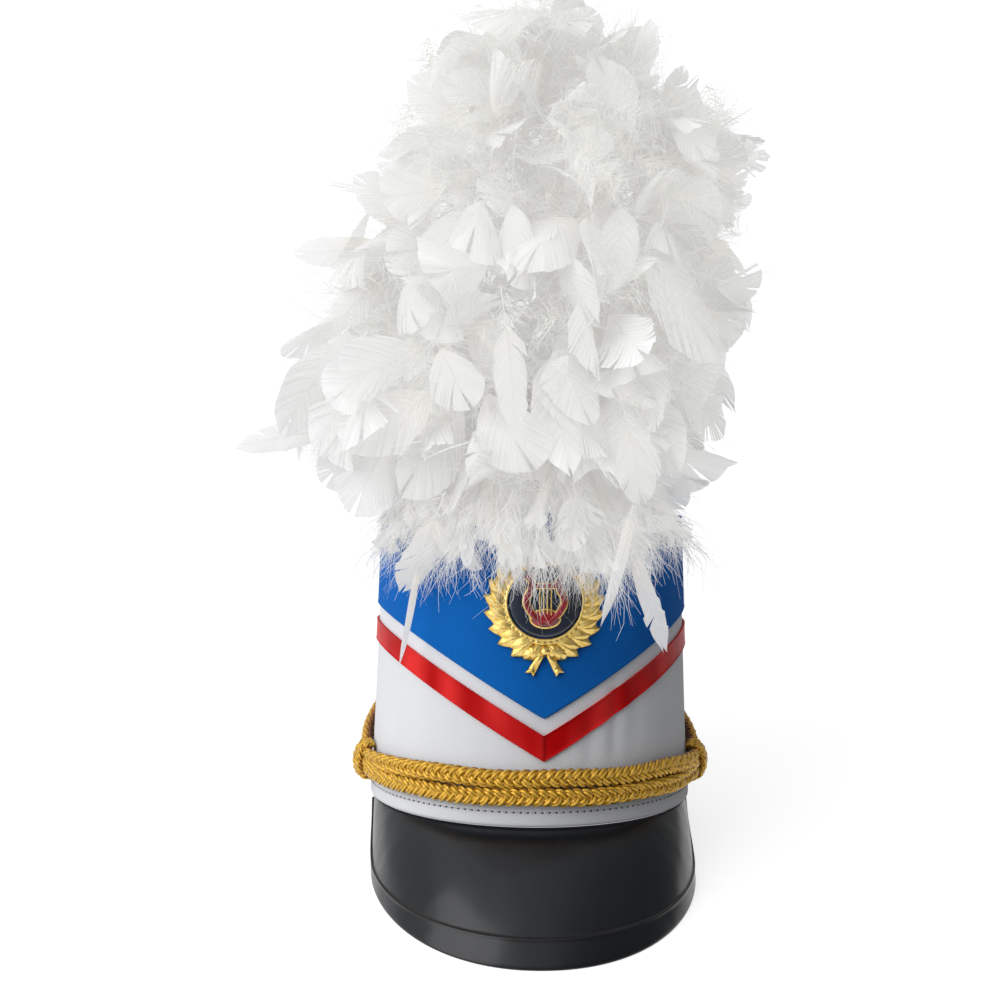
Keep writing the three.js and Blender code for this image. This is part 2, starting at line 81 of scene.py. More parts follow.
# A surface on a grid of rows and columns. Either may go round, and rows that go round can close to a middle point.
def gridPart(points, roundRows=False, roundColumns=False, uv=None, values=None, capped=False):
    rows, columns = points.shape[:2]
    r, c = np.meshgrid(np.arange(rows - 1 + roundRows), np.arange(columns - 1 + roundColumns), indexing="ij")
    r2, c2 = (r + 1) % rows, (c + 1) % columns
    quads = np.stack([r * columns + c, r2 * columns + c, r2 * columns + c2, r * columns + c2], -1).reshape(-1, 4)
    if uv is None:
        u, v = np.meshgrid(np.arange(rows + 1.0), np.arange(columns + 1.0), indexing="ij")
        uv = np.stack([u / rows, v / columns], -1)
    quadUv = np.stack([uv[r, c], uv[r + 1, c], uv[r + 1, c + 1], uv[r, c + 1]], -2).reshape(-1, 4, 2)
    flat = points.reshape(-1, 3)
    values = {key: np.broadcast_to(value, (rows, columns)).ravel() for key, value in (values or {}).items()}
    faces, uvs = [quads], [quadUv]
    if capped:
        ring = np.arange(columns)
        after = (ring + 1) % columns
        last = (rows - 1) * columns
        middles = np.stack([points[0].mean(0), points[-1].mean(0)])
        first = np.stack([np.full(columns, len(flat)), ring, after], -1)
        final = np.stack([np.full(columns, len(flat) + 1), last + after, last + ring], -1)
        faces.append(np.concatenate([first, final]))
        uvs.append(np.zeros((2 * columns, 3, 2)))
        flat = np.concatenate([flat, middles])
        values = {key: np.append(value, [value[0], value[-1]]) for key, value in values.items()}
    return {"points": flat, "faces": faces, "uv": uvs, "values": values}


# Turns a closed part's faces outward: the sum of the wedges from the origin to its faces is its volume
def facingOut(part):
    volume = 0.0
    for faces in part["faces"]:
        a, b, c, d = (part["points"][faces[:, k]] for k in (0, 1, 2, -1))
        volume += (a * (np.cross(b, c) + np.cross(c, d))).sum()
    if volume < 0:
        part["faces"] = [faces[:, ::-1] for faces in part["faces"]]
        part["uv"] = [uvs[:, ::-1] for uvs in part["uv"]]
    return part


# A tube: a ring of the given radius carried along a path, upright to it
def tubePart(path, reference, radius, sides, uvScale=1.0, values=None):
    tangent = unit(np.gradient(path, axis=0))
    across = unit(np.cross(tangent, reference))
    outward = np.cross(across, tangent)
    turn = 2 * np.pi * np.arange(sides) / sides
    radius = np.broadcast_to(radius, (len(path), sides))[..., None]
    ring = np.cos(turn)[:, None] * outward[:, None] + np.sin(turn)[:, None] * across[:, None]
    length = np.append(0, np.cumsum(np.linalg.norm(np.diff(path, axis=0), axis=1)))
    length = np.append(length, length[-1])
    u, v = np.meshgrid(length * uvScale, np.arange(sides + 1.0) / sides, indexing="ij")
    points = path[:, None] + radius * ring
    return facingOut(gridPart(points, roundColumns=True, uv=np.stack([u, v], -1), values=values, capped=True))


plumePieces = bpy.data.collections.new("plumePieces")  # what the plume's own fill light reaches


def addPiece(name, parts, material, slotName, *nodes, floorCut=False):
    points = toRow(np.concatenate([part["points"] for part in parts]))
    if floorCut:
        points[:, 2] = np.maximum(points[:, 2], 0)
    starts = np.cumsum([0] + [len(part["points"]) for part in parts])
    corners = [faces.ravel() + start for part, start in zip(parts, starts) for faces in part["faces"]]
    sizes = [np.full(len(faces), faces.shape[1]) for part in parts for faces in part["faces"]]
    uvs = np.concatenate([uv.reshape(-1, 2) for part in parts for uv in part["uv"]])
    sizes = np.concatenate(sizes)
    corners = np.concatenate(corners)
    mesh = bpy.data.meshes.new(name)
    mesh.vertices.add(len(points))
    mesh.vertices.foreach_set("co", points.astype(np.float32).ravel())
    mesh.loops.add(len(corners))
    mesh.loops.foreach_set("vertex_index", corners.astype(np.int32))
    mesh.polygons.add(len(sizes))
    mesh.polygons.foreach_set("loop_start", (np.cumsum(sizes) - sizes).astype(np.int32))
    mesh.polygons.foreach_set("use_smooth", np.ones(len(sizes), bool))
    mesh.uv_layers.new(name="UVMap").data.foreach_set("uv", uvs.astype(np.float32).ravel())
    for key in parts[0]["values"]:
        value = np.concatenate([part["values"][key] for part in parts])
        mesh.attributes.new(key, "FLOAT", "POINT").data.foreach_set("value", value.astype(np.float32))
    mesh.update(calc_edges=True)
    mesh.validate()
    mesh.materials.append(material)
    piece = bpy.data.objects.new(name, mesh)
    bpy.context.scene.collection.objects.link(piece)
    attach(piece, "root")
    if nodes:
        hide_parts(*nodes)
    if slotName == "white_feather":
        plumePieces.objects.link(piece)
    print(name, len(points), "points", int((sizes - 2).sum()), "triangles")
    return piece


# Materials


def node(tree, kind, inputs=None, **settings):
    made = tree.nodes.new("ShaderNode" + kind)
    for key, value in settings.items():
        setattr(made, key, value)
    for key, value in (inputs or {}).items():
        if isinstance(value, bpy.types.NodeSocket):
            tree.links.new(value, made.inputs[key])
        else:
            made.inputs[key].default_value = value
    return made


def newGroup(name, outputs, inputs):
    group = bpy.data.node_groups.new(name, "ShaderNodeTree")
    for kind, names in (("OUTPUT", outputs), ("INPUT", inputs)):
        for socketName, socketType in names:
            group.interface.new_socket(socketName, in_out=kind, socket_type="NodeSocket" + socketType)
    start = group.nodes.new("NodeGroupInput")
    end = group.nodes.new("NodeGroupOutput")
    return group, start, end


def newMaterial(name, **shader):
    material = bpy.data.materials.new(name)
    material.use_nodes = True
    tree = material.node_tree
    principled = tree.nodes["Principled BSDF"]
    for key, value in shader.items():
        principled.inputs[key.replace("_", " ")].default_value = value
    return material, tree, principled


# A ramp through stops of a position and a colour
def ramped(tree, value, *stops):
    made = node(tree, "ValToRGB", {"Fac": value})
    elements = made.color_ramp.elements
    for position, colour in stops[1:-1]:
        elements.new(position).color = (*colour, 1)
    for element, (position, colour) in ((elements[0], stops[0]), (elements[-1], stops[-1])):
        element.position = position
        element.color = (*colour, 1)
    return made.outputs["Color"]


# One colour darkened or lightened by a value
def tinted(tree, colour, tint):
    inputs = {"Factor": 1.0, 6: colour, 7: tint}
    return node(tree, "Mix", inputs, data_type="RGBA", blend_type="MULTIPLY").outputs[2]


def surfaced(tree, principled, colour, height, strength, distance):
    tree.links.new(colour, principled.inputs["Base Color"])
    relief = node(tree, "Bump", {"Height": height, "Strength": strength, "Distance": distance})
    tree.links.new(relief.outputs["Normal"], principled.inputs["Normal"])


# A plain finish: two close shades of one colour, mottled at the given scale
def mottled(name, dark, light, scale, detail=2.0, spread=(0, 1), **shader):
    material, tree, principled = newMaterial(name, **shader)
    coords = node(tree, "TexCoord")
    mottle = node(tree, "TexNoise", {"Vector": coords.outputs["Object"], "Scale": scale, "Detail": detail})
    colour = ramped(tree, mottle.outputs["Fac"], (spread[0], dark), (spread[1], light))
    tree.links.new(colour, principled.inputs["Base Color"])
    return material


# Slanted ridges of a twill from the cloth's own millimetres, broken up by slubs in the yarn. Its colour is painted
# shade, darker in the hollows between ridges, mixed with a broad cloud of the cloth's own uneven tone.
def twillGroup():
    group, start, end = newGroup(
        "twillWeave",
        [("Color", "Color"), ("Height", "Float")],
        [("Light", "Color"), ("Dark", "Color"), ("Pitch", "Float")],
    )
    coords = node(group, "TexCoord")
    slant = node(group, "VectorMath", {0: coords.outputs["UV"], 1: (0.87, 0.5, 0)}, operation="DOT_PRODUCT")
    cross = node(group, "VectorMath", {0: coords.outputs["UV"], 1: (-0.3, 0.95, 0)}, operation="DOT_PRODUCT")
    slub = node(group, "TexNoise", {"Vector": coords.outputs["UV"], "Scale": 0.55, "Detail": 3.0})
    cloud = node(group, "TexNoise", {"Vector": coords.outputs["UV"], "Scale": 0.035, "Detail": 2.0})
    turns = node(group, "Math", {0: slant.outputs["Value"], 1: start.outputs["Pitch"]}, operation="DIVIDE")
    wander = node(group, "Math", {0: slub.outputs["Fac"], 1: 0.9, 2: turns.outputs[0]}, operation="MULTIPLY_ADD")
    phase = node(group, "Math", {0: wander.outputs[0], 1: 2 * math.pi}, operation="MULTIPLY")
    ridge = node(group, "Math", {0: phase.outputs[0]}, operation="SINE")
    threadTurns = node(group, "Math", {0: cross.outputs["Value"], 1: 2 * math.pi / 0.62}, operation="MULTIPLY")
    thread = node(group, "Math", {0: threadTurns.outputs[0]}, operation="SINE")
    height = node(group, "Math", {0: thread.outputs[0], 1: 0.3, 2: ridge.outputs[0]}, operation="MULTIPLY_ADD")
    raised = node(group, "MapRange", {"Value": height.outputs[0], "From Min": -1.3, "From Max": 1.3})
    # Painted shade in the hollows between ridges, mixed with the cloth's uneven tone
    uneven = node(group, "Math", {0: cloud.outputs["Fac"], 1: 0.5, 2: raised.outputs[0]}, operation="MULTIPLY_ADD")
    mask = node(group, "MapRange", {"Value": uneven.outputs[0], "From Min": 0.1, "From Max": 1.2})
    colour = node(
        group,
        "Mix",
        {"Factor": mask.outputs[0], 6: start.outputs["Dark"], 7: start.outputs["Light"]},
        data_type="RGBA",
    )
    group.links.new(colour.outputs[2], end.inputs["Color"])
    group.links.new(raised.outputs[0], end.inputs["Height"])
    return group


twill = twillGroup()


def twillCloth(name, light, dark, pitch, bump, **shader):
    material, tree, principled = newMaterial(name, **shader)
    weave = node(tree, "Group", {"Light": light, "Dark": dark, "Pitch": pitch}, node_tree=twill)
    surfaced(tree, principled, weave.outputs["Color"], weave.outputs["Height"], bump, 0.0003)
    return material


# Each cloth's darker colour is the painted shade of its twill's hollows
whiteTwill = twillCloth(
    "whiteTwill", (0.86, 0.87, 0.89, 1), (0.70, 0.71, 0.75, 1), 1.05, 0.35, Roughness=0.9, Specular_IOR_Level=0.2
)
blueTwill = twillCloth(
    "blueTwill", (0.002, 0.16, 0.58, 1), (0.001, 0.085, 0.38, 1), 1.05, 0.4, Roughness=0.85, Specular_IOR_Level=0.12
)


# Satin: fine crosswise threads, with broad lighter bands painted into its colour as satin highlights
def satinRibbon():
    material, tree, principled = newMaterial("redSatin", Roughness=0.4, Specular_IOR_Level=0.06)
    coords = node(tree, "TexCoord")
    rib = node(tree, "VectorMath", {0: coords.outputs["UV"], 1: (2 * math.pi / 0.55, 0, 0)}, operation="DOT_PRODUCT")
    ridge = node(tree, "Math", {0: rib.outputs["Value"]}, operation="SINE")
    stretched = node(tree, "VectorMath", {0: coords.outputs["UV"], 1: (0.045, 0.02, 1)}, operation="MULTIPLY")
    # Painted highlight: broad bands of lighter red along the ribbon
    bands = node(tree, "TexNoise", {"Vector": stretched.outputs[0], "Scale": 1.0, "Detail": 1.0})
    stops = (0.38, (0.50, 0.0012, 0.002)), (0.68, (0.84, 0.03, 0.028))
    colour = ramped(tree, bands.outputs["Fac"], *stops)
    surfaced(tree, principled, colour, ridge.outputs[0], 0.12, 0.0002)
    return material


redSatin = satinRibbon()


# Moulded plastic: near black, with faint flow marks that soften its gloss
def mouldedPlastic():
    material, tree, principled = newMaterial(
        "blackPlastic", Specular_IOR_Level=0.3, Coat_Weight=0.25, Coat_Roughness=0.2
    )
    coords = node(tree, "TexCoord")
    flow = node(tree, "TexNoise", {"Vector": coords.outputs["Object"], "Scale": 22.0, "Detail": 3.0})
    gloss = node(tree, "MapRange", {"Value": flow.outputs["Fac"], "To Min": 0.22, "To Max": 0.4})
    tree.links.new(gloss.outputs[0], principled.inputs["Roughness"])
    shade = ramped(tree, flow.outputs["Fac"], (0, (0.0025, 0.0035, 0.0055)), (1, (0.006, 0.008, 0.0115)))
    ripple = node(tree, "TexNoise", {"Vector": coords.outputs["Object"], "Scale": 26.0, "Detail": 2.0})
    surfaced(tree, principled, shade, ripple.outputs["Fac"], 0.35, 0.006)
    return material


blackPlastic = mouldedPlastic()


# Rayon cord: a value stored on the piece paints shade into the yarn, darker and redder where it dips under another
# strand and in the grooves between its yarns
def rayonCord():
    material, tree, principled = newMaterial("goldCord", Roughness=0.3, Metallic=0.4, Sheen_Weight=0.1)
    paintedShade = node(tree, "Attribute", attribute_name="paintedShade")
    coords = node(tree, "TexCoord")
    fibre = node(tree, "VectorMath", {0: coords.outputs["UV"], 1: (1.2, 26.0, 0)}, operation="MULTIPLY")
    streak = node(tree, "TexNoise", {"Vector": fibre.outputs[0], "Scale": 1.0, "Detail": 2.0})
    stops = (0.1, (0.80, 0.47, 0.035)), (0.55, (0.36, 0.14, 0.010)), (0.95, (0.12, 0.022, 0.004))
    yarn = ramped(tree, paintedShade.outputs["Fac"], *stops)
    tint = node(tree, "MapRange", {"Value": streak.outputs["Fac"], "To Min": 0.72, "To Max": 1.2})
    surfaced(tree, principled, tinted(tree, yarn, tint.outputs[0]), streak.outputs["Fac"], 0.5, 0.0004)
    return material


goldCord = rayonCord()


# Gilt stamping: polished on the high places and browner in between, from fine mottling
def giltMetal():
    material, tree, principled = newMaterial("giltMetal", Metallic=1.0)
    coords = node(tree, "TexCoord")
    mottle = node(tree, "TexNoise", {"Vector": coords.outputs["Object"], "Scale": 420.0, "Detail": 3.0})
    colour = ramped(tree, mottle.outputs["Fac"], (0.3, (0.62, 0.40, 0.09)), (0.7, (0.90, 0.68, 0.24)))
    gloss = node(tree, "MapRange", {"Value": mottle.outputs["Fac"], "To Min": 0.22, "To Max": 0.42})
    tree.links.new(gloss.outputs[0], principled.inputs["Roughness"])
    surfaced(tree, principled, colour, mottle.outputs["Fac"], 0.12, 0.0003)
    return material


gilt = giltMetal()


# Enamel: a deep colour that pools slightly darker in places, under a clear coat
def enamel(name, light, dark):
    coat = {"Roughness": 0.22, "Coat_Weight": 0.7, "Coat_Roughness": 0.06}
    return mottled(name, dark, light, 190.0, 1.5, (0.35, 0.65), **coat)


redEnamel = enamel("redEnamel", (0.42, 0.006, 0.014), (0.20, 0.002, 0.006))
navyEnamel = enamel("navyEnamel", (0.010, 0.020, 0.050), (0.004, 0.009, 0.022))


# Feather: white towards the tips and cream near the roots, partly the down's own cream and partly painted shade of the
# plume's deep middle, with fine barb lines along the vane's own strips. Some of the light goes through, and a little
# glow stands for the light that real down scatters many times.
def featherFinish(name, tip, root, glowing, streak):
    material, tree, principled = newMaterial(name, Roughness=0.6, Specular_IOR_Level=0.25)
    principled.inputs["Emission Color"].default_value = (1.0, 0.985, 0.95, 1)
    principled.inputs["Emission Strength"].default_value = glowing
    reach = node(tree, "Attribute", attribute_name="reach")
    tone = node(tree, "Attribute", attribute_name="tone")
    # Cream near the roots, partly the down's own cream and partly painted shade of the plume's middle, with each
    # feather's own tone
    creamAndShade = node(tree, "Math", {0: tone.outputs["Fac"], 1: 0.35, 2: reach.outputs["Fac"]}, operation="MULTIPLY_ADD")
    shade = ramped(tree, creamAndShade.outputs[0], (0.05, root), (0.75, tip))
    coords = node(tree, "TexCoord")
    barbs = node(tree, "VectorMath", {0: coords.outputs["UV"], 1: (2.6, 0.35, 0)}, operation="MULTIPLY")
    silk = node(tree, "TexNoise", {"Vector": barbs.outputs[0], "Scale": 1.0, "Detail": 0.0}).outputs["Fac"]
    tint = node(tree, "MapRange", {"Value": silk, "From Min": 0.3, "From Max": 0.7, "To Min": streak})
    colour = tinted(tree, shade, tint.outputs[0])
    surfaced(tree, principled, colour, silk, 0.5, 0.0006)
    through = node(tree, "BsdfTranslucent", {"Color": colour})
    both = node(tree, "MixShader", {0: 0.45, 1: principled.outputs[0], 2: through.outputs[0]})
    tree.links.new(both.outputs[0], tree.nodes["Material Output"].inputs["Surface"])
    return material


whiteFeather = featherFinish("whiteFeather", (0.88, 0.88, 0.88), (0.88, 0.83, 0.72), 0.25, 0.86)
whiteDown = featherFinish("whiteDown", (0.90, 0.90, 0.88), (0.88, 0.84, 0.75), 0.26, 0.92)
hemThread = mottled("hemThread", (0.62, 0.62, 0.66), (0.88, 0.88, 0.90), 900.0, Roughness=0.8)
# Painted shade for the needle holes
needleHole = mottled("needleHole", (0.03, 0.03, 0.05), (0.16, 0.16, 0.20), 700.0, Roughness=0.9)
plumeStem = mottled("plumeStem", (0.62, 0.58, 0.50), (0.80, 0.77, 0.70), 90.0, Roughness=0.6)
print("materials made")

# Crown

crown = {"halfWidth": 87, "halfDepth": 97.4, "height": 150, "taper": 5.5, "wall": 2.5, "hem": 9, "swell": 0.6}
around = 288  # steps round the crown
girth, meanRadius = 579, 92
# Upright creases: place and width round the crown in radians, depth, low and high ends
creases = [(0.30, 0.05, 0.8, 24, 60), (0.46, 0.04, 1.0, 28, 76), (0.62, 0.05, 0.5, 34, 80)]


# A point on the crown: an oval that narrows evenly with height, moved outward by the offset
def onCrown(angle, height, offset):
    inset = crown["taper"] * height / crown["height"]
    x = (crown["halfWidth"] - inset + offset) * np.sin(angle)
    y = -(crown["halfDepth"] - inset + offset) * np.cos(angle)
    return np.stack(np.broadcast_arrays(x, y, height), -1).astype(float)


def crownOutward(angle):
    x = np.sin(angle) / crown["halfWidth"]
    y = -np.cos(angle) / crown["halfDepth"]
    return unit(np.stack(np.broadcast_arrays(x, y, 0 * x), -1))


# Shallow dents of the stiff cloth: upright creases right of the middle and slow waves all round
def clothDents(angle, height):
    dents = 0.10 * np.sin(3 * angle + 0.6) + 0.07 * np.sin(7 * angle + height / 28)
    for place, width, depth, low, high in creases:
        turned = (angle + np.pi) % (2 * np.pi) - np.pi - place
        band = eased(height, low, low + 12) * (1 - eased(height, high - 14, high))
        dents = dents - depth * np.exp(-((turned / width) ** 2)) * band
    return dents * eased(height, 9, 14) * (1 - eased(height, 136, 148))


def crownShell():
    angle = np.linspace(0, 2 * np.pi, around, endpoint=False)[:, None]
    hem, swell, wall, top = crown["hem"], crown["swell"], crown["wall"], crown["height"]
    rolled = [(0, -1.7), (0.0, -0.7), (0.35, 0.05), (1.0, 0.45), (1.9, swell), (4.4, swell + 0.1), (7, swell)]
    tucked = [(8.3, swell - 0.05), (hem, 0.3), (hem + 0.5, 0.02), (hem + 1.2, 0)]
    rising = [(h, 0) for h in np.linspace(hem + 3, top - 1, 34)]
    over = [(top - 0.3, -0.2), (top, -0.8), (top, -wall + 0.6), (top - 0.6, -wall)]
    falling = [(h, -wall) for h in np.linspace(top - 4, 4, 20)] + [(0.8, -wall), (0, -wall + 0.6)]
    profile = np.array(rolled + tucked + rising + over + falling)
    outside = np.arange(len(profile)) < len(rolled + tucked + rising)
    height, offset = profile[:, 0], profile[:, 1]
    points = onCrown(angle, height + 0 * angle, offset + outside * clothDents(angle, height))
    u, v = np.meshgrid(np.arange(around + 1) * girth / around, np.append(height, height[0]), indexing="ij")
    return facingOut(gridPart(points, True, True, np.stack([u, v], -1)))


addPiece("crownShell", [crownShell()], whiteTwill, "white_twill", "crown_wall", floorCut=True)

# Row of stitches along the hem

stitch = {"height": 7.2, "pitch": 3.7, "length": 2.5, "radius": 0.34, "standOff": 0.62, "arch": 0.22}
hole = {"radius": 0.52, "oval": 1.25, "standOff": 0.80, "dish": 0.12}
stitchCount = round(girth / stitch["pitch"])
stitchAngles = 2 * np.pi * np.arange(stitchCount) / stitchCount


# A short thread, round in section, that dips into the cloth at both ends
def hemStitch(angle):
    along = np.linspace(-1, 1, 5)
    turned = angle + along * (stitch["length"] / 2 / meanRadius)
    rise = stitch["standOff"] + stitch["arch"] * (1 - along**2)
    path = onCrown(turned, stitch["height"] + 0 * along, rise)
    return tubePart(path, crownOutward(turned), stitch["radius"] * (1 - 0.5 * along[:, None] ** 2), 6)


# A small dark oval between two stitches, painted shade standing for the shadowed inside of a needle hole
def hemHole(angle):
    ring = np.array([0.02, 0.6, 1.0])[:, None]
    turn = 2 * np.pi * np.arange(8) / 8
    spread = hole["radius"] * ring / meanRadius
    centre = angle + np.pi / stitchCount
    height = stitch["height"] + hole["radius"] * ring * np.sin(turn)
    rise = hole["standOff"] - hole["dish"] * ring + 0 * turn
    points = onCrown(centre + hole["oval"] * spread * np.cos(turn), height, rise)
    return gridPart(points, roundColumns=True)


addPiece("hemStitches", [hemStitch(angle) for angle in stitchAngles], hemThread, "white_twill")
addPiece("needleHoles", [hemHole(angle) for angle in stitchAngles], needleHole, "white_twill")

# Flat top


# Rings of the oval from the middle out, over a rounded edge and back underneath
def crownLid():
    angle = np.linspace(0, 2 * np.pi, around // 2, endpoint=False)
    low = crown["height"] + 0.3
    profile = [(0.02, 2, 0), (0.3, 2.0, 0), (0.6, 2.0, 0), (0.85, 2, 0), (0.97, 2, 0), (1, 2, -0.9), (1, 1.6, -0.2)]
    profile += [(1, 1, 0.1), (1, 0.4, -0.2), (1, 0, -0.9), (0.7, 0, 0), (0.02, 0, 0)]
    rows = []
    for share, rise, offset in profile:
        edge = onCrown(angle, np.full(len(angle), crown["height"]), 1.2 + offset)
        rows.append(edge * (share, share, 0) + (0, 0, low + rise))
    points = np.array(rows)
    uv = np.concatenate([points, points[-1:]])[..., :2]
    uv = np.concatenate([uv, uv[:, :1]], 1)
    return facingOut(gridPart(points, roundColumns=True, uv=uv, capped=True))


addPiece("crownLid", [crownLid()], blueTwill, "blue_twill", "crown_top")

# Blue panel and red ribbon

trim = {"turn": math.radians(1.5), "inner": 0.3, "outer": 1.3}
panel = {"tip": 53, "side": 103.5, "rounding": 0.008}
ribbon = {"tip": 38.4, "side": 89.5, "rounding": 0.003, "width": 10.8, "foldOver": 0.55, "tuckUnder": 0.12}


# Rises from the tip at the front to the sides with the sine of the angle, and stays level round the back
def chevron(angle, band):
    tip, side, rounding = band["tip"], band["side"], band["rounding"]
    turned = angle - trim["turn"]
    rise = np.sqrt(np.sin(turned) ** 2 + rounding**2) - rounding
    return np.where(np.cos(turned) > 0, mix(tip, side, np.minimum(rise / (1 - rounding), 1)), side)


# A band of cloth round the crown from its low to its high edge, with folded, slightly fuller edges
def clothBand(low, high, angle, offset, rows):
    share = np.concatenate([[0.0, 0.0, 0.004, 0.012], np.linspace(0.03, 0.97, rows), [0.988, 0.996, 1.0, 1.0]])
    fold = np.concatenate([[0.25, 0.7, 1.12, 1.2], np.full(rows, 1.0), [1.2, 1.12, 0.7, 0.25]])
    inner = np.array([0.97, 0.5, 0.03])
    share = np.append(share, inner)
    fold = np.append(fold, np.zeros(3))
    low, high = low[:, None], high[:, None]
    height = mix(low, high, share)
    out = trim["inner"] + (trim["outer"] - trim["inner"]) * fold + offset[:, None] * (fold > 0)
    points = onCrown(angle[:, None], height, out + clothDents(angle[:, None], height))
    u = np.append(angle, 2 * angle[-1] - angle[-2])[:, None] * meanRadius + 0 * np.append(share, 0)
    v = np.vstack([height, height[:1]])
    v = np.hstack([v, v[:, :1]])
    return points, np.stack([u, v], -1)


panelAngle = trim["turn"] + np.linspace(0, 2 * np.pi, around, endpoint=False)
panelLow = chevron(panelAngle, panel)
panelHigh = np.full(around, crown["height"] - 0.1)
panelPoints, panelUv = clothBand(panelLow, panelHigh, panelAngle, np.zeros(around), 26)
bluePiece = addPiece(
    "bluePanel",
    [facingOut(gridPart(panelPoints, True, True, panelUv))],
    blueTwill,
    "blue_twill",
    "blue_panel",
)

# The ribbon keeps its width along its slope. At the tip one arm folds over the other, a step of one thickness.
seam = math.radians(0.16)
ribbonAngle = trim["turn"] + np.concatenate(
    [[-seam, seam], np.linspace(0, 2 * np.pi, around, endpoint=False)[1:]]
)
ribbonAngle = np.sort(ribbonAngle)
ribbonMiddle = chevron(ribbonAngle, ribbon)
steepest = (ribbon["side"] - ribbon["tip"]) / crown["halfWidth"]
ribbonHalf = ribbon["width"] / 2 * np.hypot(1, steepest * np.maximum(0, np.cos(ribbonAngle - trim["turn"])))
fromTip = (ribbonAngle - trim["turn"] + np.pi) % (2 * np.pi) - np.pi
overlap = ribbon["foldOver"] * np.exp(fromTip / 0.09)
foldOver = np.where(fromTip < 0, overlap, -ribbon["tuckUnder"] * np.exp(-fromTip / 0.03))
ribbonPoints, ribbonUv = clothBand(ribbonMiddle - ribbonHalf, ribbonMiddle + ribbonHalf, ribbonAngle, foldOver, 7)
ribbonUv[..., 1] = (ribbonUv[..., 1] - np.append(ribbonMiddle, ribbonMiddle[0])[:, None]) + 6
redPiece = addPiece(
    "redRibbon",
    [facingOut(gridPart(ribbonPoints, True, True, ribbonUv))],
    redSatin,
    "red_satin",
    "red_ribbon",
)
print("crown dressed")

# Peak

peak = {"halfSpan": 85, "edgeSpan": 94, "halfWidth": 84.2, "halfDepth": 109, "middle": -40, "square": 2.1}
peakForm = {"thickness": 2, "gap": 0.3, "line": 0.81, "rise": 0.7, "bulge": 0.16, "cornerStart": 0.8, "corner": 0.12}
restLine = 94
restSlope = -hatUp[1] / hatUp[2]


# Each section is a quadratic curve from the rim to the peak's edge, which lies level where the hat stands. The
# edge is a squared oval. A low step runs along the border, and the edge is rounded over to the underside.
def peakShell():
    side = np.sin(np.linspace(-np.pi / 2, np.pi / 2, 161))
    angle = np.radians(peak["halfSpan"] * side)
    turn = np.radians(peak["edgeSpan"] * side)
    power = 2 / peak["square"]
    x = peak["halfWidth"] * np.sign(np.sin(turn)) * np.abs(np.sin(turn)) ** power
    y = peak["middle"] - peak["halfDepth"] * np.sign(np.cos(turn)) * np.abs(np.cos(turn)) ** power
    edge = np.stack([x, y, restSlope * (restLine - y)], -1)
    corner = np.maximum(0, (np.abs(side) - peakForm["cornerStart"]) / (1 - peakForm["cornerStart"]))
    depth = mix(peakForm["corner"], 1, np.sqrt(np.maximum(0, 1 - corner**2)))[:, None]
    root = onCrown(angle, np.full(len(side), -peakForm["gap"]), -crown["wall"] / 2)
    edge = mix(root, edge, depth)
    outward = crownOutward(angle)
    crest = unit(outward + (0, 0, 1))
    slope = edge - root
    bulge = np.linalg.norm(slope, axis=1) * peakForm["bulge"] * np.cos(angle)
    middle = root + slope / 2 + crest * bulge[:, None]
    line = peakForm["line"]
    step = line + np.array([-0.012, -0.006, 0, 0.006, 0.012, 0.02])
    upper = np.concatenate([np.linspace(0, line - 0.02, 26), step, np.linspace(line + 0.03, 0.985, 9)])
    rise = peakForm["rise"] * eased(upper, line - 0.01, line + 0.012)
    rise = rise + 0.35 * np.exp(-(((upper - line - 0.012) / 0.009) ** 2))
    rim = np.array([(0.993, 0.55), (0.998, 0.2), (1.0, -0.4), (1.0, -1.2), (0.997, -1.75), (0.99, -2.0)])
    lower = np.linspace(0.95, 0.0, 16)
    share = np.concatenate([upper, rim[:, 0], lower])[None, :, None]
    lift = np.concatenate([rise, rim[:, 1], np.full(len(lower), -peakForm["thickness"])])
    root, middle, edge = root[:, None], middle[:, None], edge[:, None]
    surface = (1 - share) ** 2 * root + 2 * share * (1 - share) * middle + share**2 * edge
    slopeThere = unit(2 * (1 - share) * (middle - root) + 2 * share * (edge - middle))
    sideways = [np.cos(angle) * crown["halfWidth"], np.sin(angle) * crown["halfDepth"], 0 * angle]
    sideways = unit(np.stack(sideways, -1))[:, None]
    normal = unit(np.cross(sideways, slopeThere))
    normal = normal * np.sign((normal * crest[:, None]).sum(-1, keepdims=True))
    points = surface + normal * lift[None, :, None]
    points[:, 0, 2] = -peakForm["gap"]
    points[:, -1] = points[:, 0] - outward - (0, 0, peakForm["thickness"])
    u, v = np.meshgrid(side * 120, np.append(np.squeeze(share), 0) * 110, indexing="ij")
    grid = gridPart(points, roundColumns=True, uv=np.stack([u, v], -1))
    columns = points.shape[1]
    half = columns // 2
    k = np.arange(half - 1)
    firstCap = np.stack([k, k + 1, columns - 2 - k, columns - 1 - k], -1)
    lastCap = firstCap[:, ::-1] + (len(side) - 1) * columns
    grid["faces"].append(np.concatenate([firstCap, lastCap]))
    grid["uv"].append(np.zeros((2 * len(k), 4, 2)))
    return facingOut(grid)


addPiece("peakShell", [peakShell()], blackPlastic, "black_plastic", "peak", floorCut=True)

# Cords

cord = {"offset": 4.5, "lower": 15.3, "upper": 24.3, "span": 77, "drawnFrom": 44, "drawn": 2.2, "sag": 0.35}
strand = {"swing": 2.75, "dip": 1.25, "yarn": 1.85, "turn": 13.2, "ribs": 5, "ribDepth": 0.15, "sides": 20}


